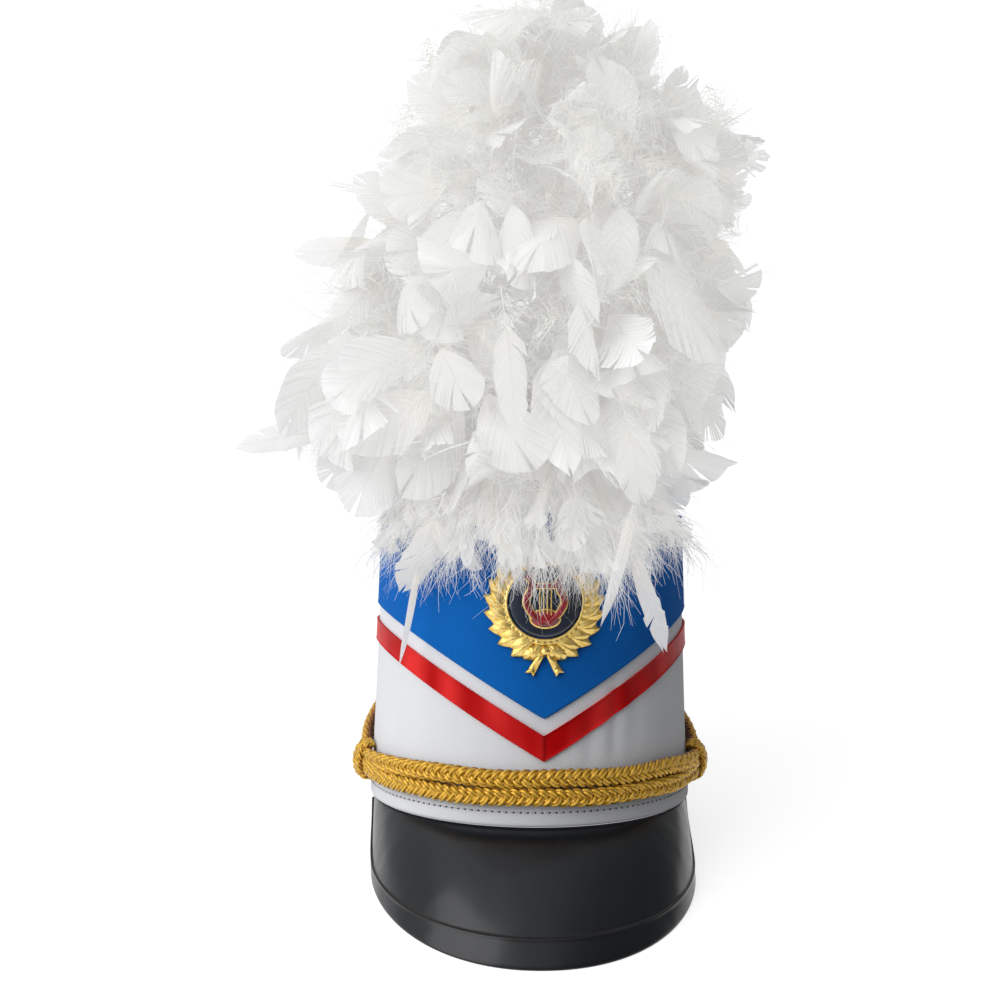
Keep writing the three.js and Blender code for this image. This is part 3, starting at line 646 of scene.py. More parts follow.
# A plait of three strands: each swings across the cord with a sine and dips under the others at twice the rate.
# A strand's section has five ribs, its yarns, which turn slowly along it.
def plait(path, outward, size, turnLength, phase, mirrored):
    length = np.append(0, np.cumsum(np.linalg.norm(np.diff(path, axis=0), axis=1)))
    tangent = unit(np.gradient(path, axis=0))
    across = unit(np.cross(outward, tangent))
    outward = np.cross(tangent, across)
    ring = 2 * np.pi * np.arange(strand["sides"]) / strand["sides"]
    ribs = 1 + strand["ribDepth"] * np.cos(strand["ribs"] * ring + length[:, None] * 0.9)
    yarn = size * strand["yarn"]
    parts = []
    for turn in range(3):
        theta = mirrored * (2 * np.pi * length / turnLength) + 2 * np.pi * turn / 3 + phase
        swing = size * strand["swing"] * np.sin(theta)
        dip = size * strand["dip"] * np.sin(2 * theta)
        strandPath = path + across * swing[:, None] + outward * dip[:, None]
        depth = dip[:, None] + yarn * np.cos(ring)
        # Painted shade: darker where the strand dips under the others, and darker still in the grooves between its
        # ribs
        paintedShade = np.clip(0.31 - 0.22 * depth / (size * strand["dip"]), 0, 1)
        paintedShade = np.clip(paintedShade + 5 * np.maximum(0, 0.98 - ribs), 0, 1)
        parts.append(tubePart(strandPath, outward, yarn * ribs, strand["sides"], 0.3, {"paintedShade": paintedShade}))
    return parts


# The two runs sit one above the other and draw together into the knots at the sides
def frontCord(height, drawn, phase, mirrored):
    angle = np.radians(np.linspace(-cord["span"], cord["span"], 420))
    sideways = eased(np.abs(angle), math.radians(cord["drawnFrom"]), math.radians(cord["span"]))
    sag = cord["sag"] * np.sin(9 * angle + phase) * (1 - sideways)
    path = onCrown(angle, height + drawn * sideways + sag, cord["offset"] + 0.6 * sideways)
    return plait(path, crownOutward(angle), 1.0, strand["turn"], phase, mirrored)


addPiece("cordUpper", frontCord(cord["upper"], -cord["drawn"], 0.4, 1), goldCord, "gold_cord", "cord_upper")
addPiece("cordLower", frontCord(cord["lower"], cord["drawn"], 2.1, -1), goldCord, "gold_cord", "cord_lower")

loop = {
    "route": [
        (77, 22.6), (82.5, 26), (90, 30), (99, 35), (108, 41), (115, 45.5), (121, 47), (125.5, 43.5),
        (124.5, 38), (119, 34), (111, 30), (102, 25), (92, 20), (83, 16.2), (77, 16.4),
    ],
    "size": 0.86, "turn": 11.4, "phase": 0.7,
}  # fmt: skip
knot = {"angle": 77.5, "height": 19.8, "tall": 8.6, "deep": 5.0, "behind": 2.9, "size": 0.8, "turn": 10.4}
# The knot's two turns: shift along the cord, size, phase of the plait, tilt
knotTurns = [(-3.1, 0.92, 0.0, 0.016), (2.9, 1.0, 1.3, -0.01)]


# From the knot up and back round the button and down to the knot again, a smooth curve on the crown
def cordLoop(side):
    route = smoothRoute(loop["route"], 260)
    angle = side * np.radians(route[:, 0])
    path = onCrown(angle, route[:, 1], cord["offset"] - 0.2)
    return plait(path, crownOutward(angle), loop["size"], loop["turn"], loop["phase"], side)


# The wrap goes round both runs: half an oval that stands out from the crown, its ends tucked behind the runs
def cordKnot(side):
    parts = []
    for shift, grow, phase, tilt in knotTurns:
        turn = np.radians(np.linspace(-112, 112, 120))
        centre = side * math.radians(knot["angle"]) + side * shift / meanRadius
        angle = centre + side * tilt * np.sin(turn)
        height = knot["height"] + grow * knot["tall"] * np.sin(turn)
        offset = 4.3 + grow * knot["deep"] * np.cos(turn)
        path = onCrown(angle, height, np.maximum(offset, knot["behind"]))
        outward = crownOutward(angle) * np.cos(turn)[:, None] + np.array([0, 0, 1.0]) * np.sin(turn)[:, None]
        parts += plait(path, outward, knot["size"], knot["turn"], phase, side)
    return parts


for side, name in ((-1, "right"), (1, "left")):
    addPiece("cordLoop_" + name, cordLoop(side), goldCord, "gold_cord", "cord_loop_" + name)
    addPiece("cordKnot_" + name, cordKnot(side), goldCord, "gold_cord", "cord_knot_" + name)

# Radius and rise of each ring of the button, from its foot
button = {
    "angle": 119.5, "height": 40.8,
    "rings": [
        (0.05, 0), (2.2, 0), (2.2, 9.2), (6.1, 9.3), (6.5, 9.6), (6.5, 10.4), (6.1, 10.8), (5.6, 10.9),
        (5.3, 11.0), (5.0, 11.4), (4.2, 12.2), (3.0, 12.8), (1.6, 13.2), (0.05, 13.3),
    ],
}  # fmt: skip


# A turned button: post, flat back, rounded rim and dome, with a ring cut into the dome
def loopButton(side):
    angle = np.array(side * math.radians(button["angle"]))
    outward = crownOutward(angle)
    up = np.array([0, 0, 1.0])
    across = np.cross(outward, up)
    foot = onCrown(angle, np.array(float(button["height"])), 0.3)
    radius, rise = np.array(button["rings"]).T
    turn = 2 * np.pi * np.arange(40) / 40
    ring = np.cos(turn)[:, None] * across + np.sin(turn)[:, None] * up
    points = foot + outward * rise[:, None, None] + ring * radius[:, None, None]
    return facingOut(gridPart(points, roundColumns=True, capped=True))


for side, name in ((-1, "right"), (1, "left")):
    addPiece("cordButton_" + name, [loopButton(side)], gilt, "gilt_metal", "cord_button_" + name)
print("cords laid")

# Badge

badge = {"height": 106, "rim": 4, "back": 1.8}
laurel = {"length": 12.5, "width": 7.2, "thick": 2.6, "ring": 20.2, "first": 17, "pitch": 16.5, "count": 7}


# Bends a flat badge part round the crown: x along the oval, y up from the badge's middle, z out from the cloth
def bent(part, standOff):
    x, y, z = part["points"].T
    height = badge["height"] + y
    reach = crown["halfWidth"] - crown["taper"] * height / crown["height"]
    part["points"] = onCrown(trim["turn"] + x / reach, height, standOff + z)
    return facingOut(part)


# The rim: a milled section carried round a circle, with a plain bead inside and notches outside
def badgeRim():
    turn = np.linspace(0, 2 * np.pi, 240, endpoint=False)[:, None]
    radius = np.array([17.8, 17.9, 18.2, 18.6, 18.9, 19.2, 20.0, 20.8, 21.1, 21.2, 20.8, 18.2])
    rise = np.array([0.2, 1.2, 1.7, 1.75, 1.5, 1.35, 1.4, 1.35, 1.0, 0.2, 0.0, 0.0])
    notch = np.array([0, 0, 0, 0, 0, 0.3, 0.45, 0.4, 0.1, 0, 0, 0]) * (np.sin(turn * 44) > -0.2)
    points = np.stack(
        np.broadcast_arrays(radius * np.sin(turn), badge["rim"] + radius * np.cos(turn), rise + notch), -1
    )
    return gridPart(points, True, True)


# A laurel leaf: its half width follows a sine along it, its middle rib stands highest, and slanted veins ripple
# down to its edges
def laurelLeaf(root, direction, size, lift):
    along = np.linspace(0, 1, 26)[:, None]
    across = np.array([-1, -0.86, -0.7, -0.52, -0.34, -0.17, 0, 0.17, 0.34, 0.52, 0.7, 0.86, 1])
    half = size * (0.2 + laurel["width"] / 2 * np.sin(np.pi * along**0.8) ** 0.85)
    veins = 0.22 * np.sin(2 * np.pi * (along * 9 - 1.6 * np.abs(across))) * np.minimum(1, 4 * np.abs(across))
    rib = 0.45 * np.exp(-((across / 0.1) ** 2))
    rise = laurel["thick"] * (0.5 + 0.42 * np.sin(np.pi * along)) * (1 - 0.5 * np.abs(across) ** 1.6) + veins + rib
    top = np.stack(np.broadcast_arrays(half * across, size * laurel["length"] * along, rise + lift), -1)
    under = top[:, [12, 6, 0]] * (0.96, 1, 0)
    points = np.concatenate([top, under], 1)
    c, s = math.cos(direction - math.pi / 2), math.sin(direction - math.pi / 2)
    turned = points @ np.array([[c, s, 0], [-s, c, 0], [0, 0, 1]]) + (root[0], root[1], 0)
    return gridPart(turned, roundColumns=True, capped=True)


def wreathParts():
    parts = [badgeRim()]
    for side in (-1, 1):
        for i in range(laurel["count"]):
            turn = math.radians(-90 + side * (laurel["first"] + i * laurel["pitch"]))
            root = (laurel["ring"] * math.cos(turn), badge["rim"] + laurel["ring"] * math.sin(turn))
            for lean, size, lift in ((30, 0.92, 0.35), (52, 1.0, 0.0)):
                direction = turn + side * (math.pi / 2 - math.radians(lean))
                parts.append(laurelLeaf(root, direction, size * (1 - 0.03 * i), lift))
        parts.append(bowDome((side * 5.4, -20.4), 6.2, 3.8, 3.4, turn=-side * 0.38, pleats=0.28))
        parts.append(bowTail(side))
    parts.append(bowDome((0, -20), 3.1, 3.1, 4.3))
    return parts


# A low dome on an oval base, its rise a cosine of the distance, with pleats round it
def bowDome(middle, halfLength, halfWidth, rise, turn=0.0, pleats=0.0):
    share = np.array([0.03, 0.25, 0.45, 0.62, 0.78, 0.9, 0.97, 1.0, 1.0])[:, None]
    high = np.array([1, 0.95, 0.86, 0.73, 0.56, 0.38, 0.2, 0.08, 0.0])[:, None]
    angle = 2 * np.pi * np.arange(40) / 40
    lifted = rise * high + pleats * np.sin(9 * angle) * share * (high > 0.1)
    across, up = halfLength * share * np.cos(angle), halfWidth * share * np.sin(angle)
    c, s = math.cos(turn), math.sin(turn)
    points = np.stack([middle[0] + c * across - s * up, middle[1] + s * across + c * up, lifted], -1)
    return gridPart(points, roundColumns=True, capped=True)


# A ribbon end: a strip that widens, waves and ends in a notch
def bowTail(side):
    along = np.linspace(0, 1, 14)[:, None]
    across = np.array([-1, -0.6, -0.2, 0.2, 0.6, 1.0])
    notch = 1 - 0.22 * (1 - np.abs(across)) * eased(along, 0.6, 1)
    x = across * (1.3 + 0.9 * along)
    y = -11.5 * along * notch
    z = 1.6 + 0.45 * np.sin(7 * along) + 0.3 * np.cos(across * 3)
    top = np.stack(np.broadcast_arrays(x, y, z), -1)
    under = top[:, [5, 3, 0]] * (0.95, 1, 0)
    points = np.concatenate([top, under], 1)
    c, s = math.cos(side * 0.52), math.sin(side * 0.52)
    turned = points @ np.array([[c, s, 0], [-s, c, 0], [0, 0, 1]]) + (side * 1.6, -21.4, 0)
    return gridPart(turned, roundColumns=True, capped=True)


addPiece(
    "badgeWreath", [bent(part, badge["back"]) for part in wreathParts()], gilt, "gilt_metal", "badge_wreath"
)


# The enamel ground: a disc, very slightly domed
def badgeGround():
    radius = np.array([0.3, 4, 8, 12, 15.5, 16.9, 17.4, 17.4, 12, 0.3])[:, None]
    rise = np.array([0.95, 0.94, 0.9, 0.86, 0.8, 0.7, 0.5, 0.05, 0.0, 0.0])[:, None]
    turn = 2 * np.pi * np.arange(96) / 96
    points = np.stack(
        np.broadcast_arrays(radius * np.sin(turn), badge["rim"] + radius * np.cos(turn), rise), -1
    )
    return gridPart(points, roundColumns=True, capped=True)


addPiece("badgeGround", [bent(badgeGround(), badge["back"])], navyEnamel, "navy_enamel", "badge_ground")

lyre = {"height": 26, "half": 9.5, "bar": 3.4}


# A bar of half round section along a flat route; the gilt edge below it is the same bar, wider and lower
def flatBar(route, width, low, high):
    path = smoothRoute(np.asarray(route, float), 40)
    tangent = unit(np.gradient(path, axis=0))
    across = np.stack([-tangent[:, 1], tangent[:, 0]], -1)
    section = np.array([(-1, 0), (-1, 0.45), (-0.82, 0.8), (-0.4, 1), (0.4, 1), (0.82, 0.8), (1, 0.45), (1, 0)])
    flat = path[:, None] + across[:, None] * section[None, :, :1] * width / 2
    rise = np.broadcast_to(mix(low, high, section[:, 1]), flat.shape[:2])
    return gridPart(np.concatenate([flat, rise[..., None]], -1), roundColumns=True, capped=True)


def lyreParts(grow, low, high):
    tall, half, bar = lyre["height"], lyre["half"], lyre["bar"]
    rim = badge["rim"]
    parts = []
    for side in (-1, 1):
        horn = [(0.1, -0.43), (0.45, -0.3), (0.8, -0.14), (0.95, 0.04), (0.68, 0.28), (0.72, 0.42), (0.98, 0.5)]
        route = [(side * across * half, rim + up * tall) for across, up in horn]
        parts.append(flatBar(route, bar * 0.86 + grow, low, high))
    crossbar = [(-0.86 * half, rim + 0.3 * tall), (0, rim + 0.31 * tall), (0.86 * half, rim + 0.3 * tall)]
    parts.append(flatBar(crossbar, bar * 0.62 + grow, low, high))
    base = bowDome((0, rim - 0.31 * tall), 0.74 * half + grow / 2, 0.17 * tall + grow / 2, high)
    base["points"][:, 2] = np.maximum(base["points"][:, 2], low)
    parts.append(base)
    return parts


enamelStand = badge["back"] + 1.3
lyreBars = [bent(part, enamelStand) for part in lyreParts(0, 0.2, 1.5)]
addPiece("lyreEnamel", lyreBars, redEnamel, "red_enamel", "badge_lyre")


# The lyre's gilt edge and its four strings
def lyreGilt():
    parts = lyreParts(1.1, 0.0, 0.75)
    for x in (-2.7, -0.9, 0.9, 2.7):
        top, foot = badge["rim"] + 7.6, badge["rim"] - 6.5
        path = np.stack([np.full(12, x), np.linspace(foot, top, 12), np.full(12, 0.9)], -1)
        parts.append(tubePart(path, np.array([0, 0, 1.0]) + 0 * path, 0.3, 8))
    return parts


addPiece("lyreGilt", [bent(part, enamelStand) for part in lyreGilt()], gilt, "gilt_metal")
print("badge set")

# Plume

plume = {"foot": 152.6, "rest": 153.4, "top": 402, "topEase": 30, "back": 140, "backEase": 14}
# Height above the foot, middle across and in depth, half width and half depth
levels = np.array(
    [
        (0, -3, -28, 92, 96), (20, -14, -30, 114, 104), (41, -24, -31, 126, 106), (70, -10, -31, 113, 106),
        (106, 2, -30, 117, 104), (142, -6, -30, 119, 102), (178, 9, -29, 111, 97), (200, 20, -28, 111, 90),
        (226, 10, -27, 82, 80), (254, 16, -27, 52, 56), (276, 22, -27, 42, 42), (286, 23, -27, 22, 22),
    ],
    float,
)  # fmt: skip


# The plume's outline at a height: its middle and half widths, read between the levels
def plumeOutline(height):
    rise = height - plume["foot"]
    return [np.interp(rise, levels[:, 0], levels[:, k]) for k in (1, 2, 3, 4)]


# Keeps feathers off the crown: over the top they rest on it, and beside it they hang clear of the wall. The
# plume's highest tips are eased down under its top, and those furthest back are eased in.
def clearOfCrown(points, clearance):
    x, y, z = points[..., 0], points[..., 1], points[..., 2]
    inset = crown["taper"] * np.clip(z, 0, crown["height"]) / crown["height"]
    halfX, halfY = crown["halfWidth"] - inset + clearance, crown["halfDepth"] - inset + clearance
    rest, top, topEase, backEase = plume["rest"], plume["top"], plume["topEase"], plume["backEase"]
    share = np.hypot(x / halfX, y / halfY)
    below = np.clip(rest - z, 0, None)
    rests = (share < 0.9) & (z > 120)
    z = np.where(rests & (below > 0), rest + 0.04 * below, z)
    z = np.where(z > top, top + topEase * np.tanh((z - top) / topEase), z)
    over = y * hatBack[1] + z * hatUp[1] - plume["back"]
    y = y - np.maximum(0, over - backEase * np.tanh(over / backEase)) / hatBack[1]
    pushed = (share < 1) & ~rests & (z < rest)
    grow = np.where(pushed, 1 / np.maximum(share, 0.5), 1)
    return np.stack([x * grow, y * grow, z], -1)


# Flat feathers rolled onto arcs. Along its shaft (u) a feather bends by a constant curve towards its curl side and
# twists evenly; v is across the vane and w above it.
def rolled(feathers, u, v, w):
    extra = (slice(None),) + (None,) * (u.ndim - 1)
    length, bend, twist = (feathers[key][extra] for key in ("length", "bend", "twist"))
    root, along, side, above = (feathers[key][extra] for key in ("root", "along", "side", "above"))
    curve = bend / length
    angle = curve * u
    straight = np.sin(angle) / curve
    fallen = (1 - np.cos(angle)) / curve
    axis = root + along * straight[..., None] - above * fallen[..., None]
    normal = above * np.cos(angle)[..., None] + along * np.sin(angle)[..., None]
    turn = (twist * u / length)[..., None]
    across = side * np.cos(turn) + normal * np.sin(turn)
    normal = normal * np.cos(turn) - side * np.sin(turn)
    sway = feathers["sway"][extra] * u * u / length
    return axis + across * (v + sway)[..., None] + normal * w[..., None]


# Strips from an array of feathers, strips, sections and two edges: quads between neighbouring sections
def strips(points, uv, values):
    count, sections = points.shape[0] * points.shape[1], points.shape[2]
    index = np.arange(count * sections * 2).reshape(count, sections, 2)
    quads = np.stack([index[:, :-1, 0], index[:, :-1, 1], index[:, 1:, 1], index[:, 1:, 0]], -1).reshape(-1, 4)
    uv = uv.reshape(-1, 2)
    values = {key: np.broadcast_to(value, points.shape[:-1]).ravel() for key, value in values.items()}
    return {"points": points.reshape(-1, 3), "faces": [quads], "uv": [uv[quads]], "values": values}


# The closed vane: strips between barbs. A barb leaves the shaft at an angle, bends towards the tip and ends on the
# feather's outline; here and there the vane has split and the barbs beyond lean apart.
def vaneStrips(rng, feathers, count):
    n = len(feathers["length"])
    fluff = feathers["fluff"][:, None, None, None]
    place = (np.arange(count)[:, None] + np.array([-0.02, 1.02])) / count
    s = np.clip(place, 0, 1)[None, :, None, :]
    q = np.linspace(0, 1, 4)[None, None, :, None]
    halves = []
    for side in (-1, 1):
        jump = rng.normal(0, 0.2, (n, count)) * (rng.random((n, count)) < feathers["ragged"][:, None])
        lean = np.cumsum(jump, 1)
        lean = (lean - lean.mean(1, keepdims=True))[:, :, None, None]
        uneven = 1 + rng.normal(0, 0.006, (n, count))[:, :, None, None]
        start = np.radians(mix(52, 40, s) - 33 * eased(s, 0.72, 1.0)) + 0.5 * lean
        change = -math.radians(26) * (1 - 0.8 * s) + 0.6 * lean
        change = np.where(np.abs(change) < 0.02, -0.02, change)
        width = feathers["width"][:, None, None, None]
        barb = uneven * width * (1.2 - 0.62 * s**1.5) * (0.75 + 0.25 * eased(s, 0, 0.3))
        angle = start + change * q
        length = feathers["length"][:, None, None, None]
        u = mix(fluff * length, length - 0.55 * width, s)
        u = u + barb * (np.sin(angle) - np.sin(start)) / change
        v = barb * (np.cos(start) - np.cos(angle)) / change
        lift = rng.normal(0, 0.02, (n, count))[:, :, None, None] * q**2 * barb
        w = feathers["cup"][:, None, None, None] * v * v / width + lift + 0.05 * v * (1 - q)
        points = rolled(feathers, u, side * v, w)
        uv = np.stack(np.broadcast_arrays(place[None, :, None, :] * count, q, u)[:2], -1)
        reach = u / length
        halves.append(strips(points, uv, {"reach": reach, "tone": feathers["tone"][:, None, None, None]}))
    return halves


# The loose down near a feather's root: hair-thin barbs that wander off the vane's plane
def downStrips(rng, feathers, count, hair=0.34, lean=62, reaching=1.0, spread=1.0):
    n = len(feathers["length"])
    shape = (n, count, 1, 1)
    q = np.linspace(0, 1, 5)[None, None, :, None]
    edge = np.array([-0.5, 0.5])[None, None, None, :]
    side = np.where(np.arange(count) % 2, 1, -1)[None, :, None, None]
    fluff = feathers["fluff"][:, None, None, None]
    length = feathers["length"][:, None, None, None]
    s = rng.random(shape) * (fluff + feathers["loose"][:, None, None, None])
    start = rng.normal(math.radians(lean), 0.3 * spread, shape)
    change = rng.normal(-0.65, 0.4, shape)
    change = np.where(np.abs(change) < 0.05, -0.05, change)
    barb = reaching * feathers["width"][:, None, None, None] * rng.uniform(0.75, 1.45, shape)
    angle = start + change * q
    thin = hair * (1 - 0.72 * q)
    u = s * length + barb * (np.sin(angle) - np.sin(start)) / change - edge * thin * np.sin(angle)
    v = barb * (np.cos(start) - np.cos(angle)) / change + edge * thin * np.cos(angle)
    lift = spread * barb * (rng.normal(0, 0.45, shape) * q + rng.normal(0, 0.3, shape) * q**2)
    curl = 0.05 * barb * np.sin(q * rng.uniform(3, 8, shape) + rng.uniform(0, 6, shape))
    points = rolled(feathers, u, side * (v + curl), lift)
    uv = np.stack(np.broadcast_arrays(0 * u + edge, q + 0 * u), -1)
    reach = 0.35 + 0.5 * q + 0 * u
    return strips(points, uv, {"reach": reach, "tone": feathers["tone"][:, None, None, None]})


# The shaft, three-sided and tapering
def shafts(feathers):
    n, sections = len(feathers["length"]), 8
    q = np.linspace(0, 0.97, sections)[None, :, None]
    turn = 2 * np.pi * np.arange(3) / 3
    radius = feathers["shaft"][:, None, None] * (1 - 0.85 * q)
    u = q * (feathers["length"] - 0.5 * feathers["width"])[:, None, None] + 0 * turn
    points = rolled(feathers, u, radius * np.cos(turn), radius * np.sin(turn) + 0.1)
    index = np.arange(n * sections * 3).reshape(n, sections, 3)
    after = np.roll(index, -1, 2)
    quads = np.stack([index[:, :-1], after[:, :-1], after[:, 1:], index[:, 1:]], -1).reshape(-1, 4)
    uv = np.zeros((len(quads), 4, 2))
    values = {"reach": np.full(n * sections * 3, 0.6), "tone": np.repeat(feathers["tone"], sections * 3)}
    return {"points": points.reshape(-1, 3), "faces": [quads], "uv": [uv], "values": values}


# Feathers from root to tip. The curl direction is the way each bends over; half the bend lies before the chord.
def featherSet(
    rng, root, tip, curl, bend, width, fluff,
    roll=0.0, twist=0.0, sway=0.0, cup=-0.12, ragged=0.12, loose=0.1, shaft=0.4,
):  # fmt: skip
    n = len(root)

    def every(value):
        return np.broadcast_to(np.asarray(value, float), (n,)).copy()

    bend = np.maximum(every(bend), 0.05)
    chord = tip - root
    distance = np.linalg.norm(chord, axis=1)
    chord = unit(chord)
    above = -unit(curl - chord * (curl * chord).sum(1, keepdims=True))
    side = np.cross(chord, above)
    roll = every(roll)[:, None]
    above, side = above * np.cos(roll) + side * np.sin(roll), side * np.cos(roll) - above * np.sin(roll)
    half = (bend / 2)[:, None]
    along = chord * np.cos(half) + above * np.sin(half)
    above = above * np.cos(half) - chord * np.sin(half)
    length = distance * (bend / 2) / np.sin(bend / 2)
    return {
        "root": root, "along": along, "side": side, "above": above, "length": length, "bend": bend,
        "width": every(width), "fluff": every(fluff), "twist": every(twist), "sway": every(sway),
        "cup": every(cup), "ragged": every(ragged), "loose": every(loose), "shaft": every(shaft),
        "tone": rng.random(n),
    }  # fmt: skip


def cleared(parts, clearance=2.5):
    for part in parts:
        part["points"] = clearOfCrown(part["points"], clearance)
    return parts


body = {"shortest": 62, "longest": 110, "nearEdge": 0.96, "deeper": 0.42, "hangs": -48, "stands": 60, "rise": 285}
roots = {"within": 0.6, "lowest": 160, "highest": 392}


# Feathers over the body of the plume: each ends near the outline and points out and down low on the plume, and
# upward near its top. Roots that would stand near the outline are drawn in.
def bodyFeathers(rng, count, lowest, highest):
    height = rng.uniform(lowest, highest, count)
    angle = rng.uniform(-np.pi, np.pi, count)
    middleX, middleY, halfX, halfY = plumeOutline(height)
    depth = body["nearEdge"] - body["deeper"] * rng.random(count) ** 1.5
    tip = np.stack([middleX + halfX * depth * np.sin(angle), middleY - halfY * depth * np.cos(angle), height], -1)
    share = np.clip((height - crown["height"]) / body["rise"], 0, 1)
    rise = np.radians(mix(body["hangs"], body["stands"], share**1.5)) + rng.normal(0, 0.55, count)
    turned = angle + rng.normal(0, 0.6, count)
    out = np.stack([np.sin(turned), -np.cos(turned), 0 * turned], -1)
    chord = out * np.cos(rise)[:, None] + np.array([0, 0, 1.0]) * np.sin(rise)[:, None]
    length = rng.uniform(body["shortest"], body["longest"], count) * mix(1.0, 0.75, share)
    root = tip - chord * length[:, None]
    middleX, middleY, halfX, halfY = plumeOutline(root[:, 2])
    away = root[:, :2] - np.stack([middleX, middleY], -1)
    outlying = np.maximum(np.hypot(away[:, 0] / halfX, away[:, 1] / halfY), 1e-3)
    pull = np.minimum(1, roots["within"] / outlying)
    rootHeight = np.clip(root[:, 2], roots["lowest"], roots["highest"])
    root = np.stack([middleX + away[:, 0] * pull, middleY + away[:, 1] * pull, rootHeight], -1)
    curl = np.array([0, 0, -1.0]) + 0.45 * out
    return featherSet(
        rng, root, tip, curl,
        bend=rng.uniform(0.4, 1.7, count), roll=rng.normal(0, 0.9, count), width=rng.uniform(15, 30, count),
        fluff=rng.uniform(0.35, 0.72, count), twist=rng.normal(0, 0.6, count), sway=rng.normal(0, 0.15, count),
        cup=rng.normal(-0.1, 0.3, count), ragged=rng.uniform(-0.05, 0.07, count), loose=0.15,
    )  # fmt: skip


def featherParts(rng, feathers, vanes=17, downs=46, **down):
    parts = vaneStrips(rng, feathers, vanes)
    parts.append(downStrips(rng, feathers, downs, **down))
    parts.append(shafts(feathers))
    return cleared(parts)


# Each band of the plume: name, seed, lowest and highest tips, feathers
bands = [("plumeLow", 11, 165, 205, 112), ("plumeMiddle", 12, 200, 285, 150), ("plumeHigh", 13, 275, 412, 150)]
for index, (name, seed, lowest, highest, count) in enumerate(bands):
    rng = np.random.default_rng(seed)
    nodes = ("plume",) if index == 0 else ()
    addPiece(name, featherParts(rng, bodyFeathers(rng, count, lowest, highest)), whiteFeather, "white_feather", *nodes)

# The plume's outermost feathers, one by one: root, tip, curl, bend, sway, half width, share of fluff, splits
outer = [
    ((-100, -48, 196), (-158, -46, 187), (0, 1, -0.25), 0.5, -0.03, 11, 0.2, 0.03),
    ((-80, -45, 205), (-129, -48, 212), (0, 1, -0.4), 0.5, 0.05, 13, 0.3, 0.08),
    ((-68, -62, 200), (-96, -72, 153), (0.3, 1, -0.2), 0.7, -0.05, 25, 0.25, 0.06),
    ((-82, -40, 191), (-112, -45, 168), (0.1, 1, -0.3), 0.6, 0.0, 18, 0.3, 0.06),
    ((-72, -50, 285), (-114, -42, 237), (0.3, 1, 0.1), 0.5, 0.06, 12, 0.2, 0.04),
    ((-60, -45, 294), (-128, -40, 281), (0, 1, -0.25), 0.4, 0.1, 14, 0.3, 0.02),
    ((-44, -45, 292), (-100, -38, 327), (0, 1, -0.2), 0.5, 0.06, 19, 0.25, 0.04),
    ((-18, -45, 343), (-72, -38, 379), (0.1, 1, -0.2), 0.5, 0.06, 20, 0.25, 0.04),
    ((-37, -60, 329), (-85, -55, 332), (0, 1, -0.3), 0.6, 0.05, 18, 0.3, 0.05),
    ((3, -45, 362), (-15, -35, 425), (0, 1, 0), 0.4, 0.05, 22, 0.25, 0.05),
    ((15, -50, 364), (24, -38, 430), (0, 1, 0), 0.5, -0.05, 20, 0.3, 0.08),
    ((11, -40, 385), (60, -32, 421), (0, 0.7, 0.5), 0.5, 0.12, 10, 0.25, 0.05),
    ((18, -45, 355), (54, -40, 400), (0, 1, 0.3), 0.6, 0.08, 16, 0.3, 0.1),
    ((61, -40, 363), (79, -34, 393), (0, 1, 0), 0.4, 0, 9, 0.2, 0.1),
    ((65, -45, 340), (93, -36, 364), (0, 1, 0.2), 0.5, 0, 13, 0.2, 0.3),
    ((60, -50, 336), (127, -34, 341), (0, 1, -0.5), 0.55, -0.08, 21, 0.2, 0.32),
    ((66, -48, 326), (108, -40, 313), (0, 1, -0.4), 0.5, -0.05, 16, 0.25, 0.35),
    ((79, -48, 312), (117, -40, 253), (-0.2, 1, 0), 0.35, 0.07, 15, 0.2, 0.05),
    ((68, -60, 264), (107, -50, 246), (0, 1, -0.6), 0.6, -0.08, 15, 0.25, 0.1),
    ((58, -62, 227), (95, -55, 191), (-0.5, 0.6, -0.2), 1.0, -0.08, 20, 0.3, 0.06),
    ((63, -60, 227), (97, -50, 209), (0, 1, -0.2), 0.8, 0.05, 16, 0.3, 0.2),
    ((36, -118, 209), (49, -112, 158), (0, 1, 0), 0.5, 0.04, 14, 0.3, 0.1),
    ((-22, -128, 260), (-12, -130, 192), (0, 1, 0), 0.4, 0.04, 12, 0.3, 0.06),
    ((-55, -112, 241), (-36, -128, 202), (0, 1, 0), 0.8, 0, 19, 0.3, 0.06),
    ((-37, -100, 310), (-51, -108, 272), (0, 1, 0.1), 0.7, 0, 18, 0.3, 0.05),
    ((-29, -128, 188), (-62, -118, 175), (0, 0.3, -1), 0.5, 0.06, 2.6, 0.1, 0.0),
    ((-47, -106, 164), (-65, -82, 112), (0, 1, 0), 0.5, 0.06, 13, 0.25, 0.12),
    ((-60, -90, 130), (-67, -80, 75), (0, 1, 0), 0.3, 0.05, 2.6, 0.1, 0.0),
    ((43, -112, 158), (32, -106, 98), (0, 1, 0), 0.4, 0.06, 4.5, 0.1, 0.0),
    ((42, -106, 141), (65, -92, 86), (0, 1, 0), 0.3, 0.06, 8, 0.15, 0.02),
    ((44, -40, 326), (60, -46, 374), (0, 1, 0), 0.5, 0.04, 20, 0.3, 0.1),
    ((22, -60, 318), (40, -58, 366), (0, 1, 0), 0.6, 0.0, 20, 0.35, 0.1),
]


def outerFeathers(rng):
    root, tip, curl = (np.array([row[k] for row in outer], float) for k in (0, 1, 2))
    bend, sway, width, fluff, ragged = (np.array([row[k] for row in outer], float) for k in (3, 4, 5, 6, 7))
    shaft = np.minimum(0.45, 0.1 * width)
    return featherSet(rng, root, tip, curl, bend, width, fluff, sway=sway, cup=-0.15, ragged=ragged, shaft=shaft)


rng = np.random.default_rng(31)
addPiece("plumeOuter", featherParts(rng, outerFeathers(rng), vanes=34), whiteFeather, "white_feather")


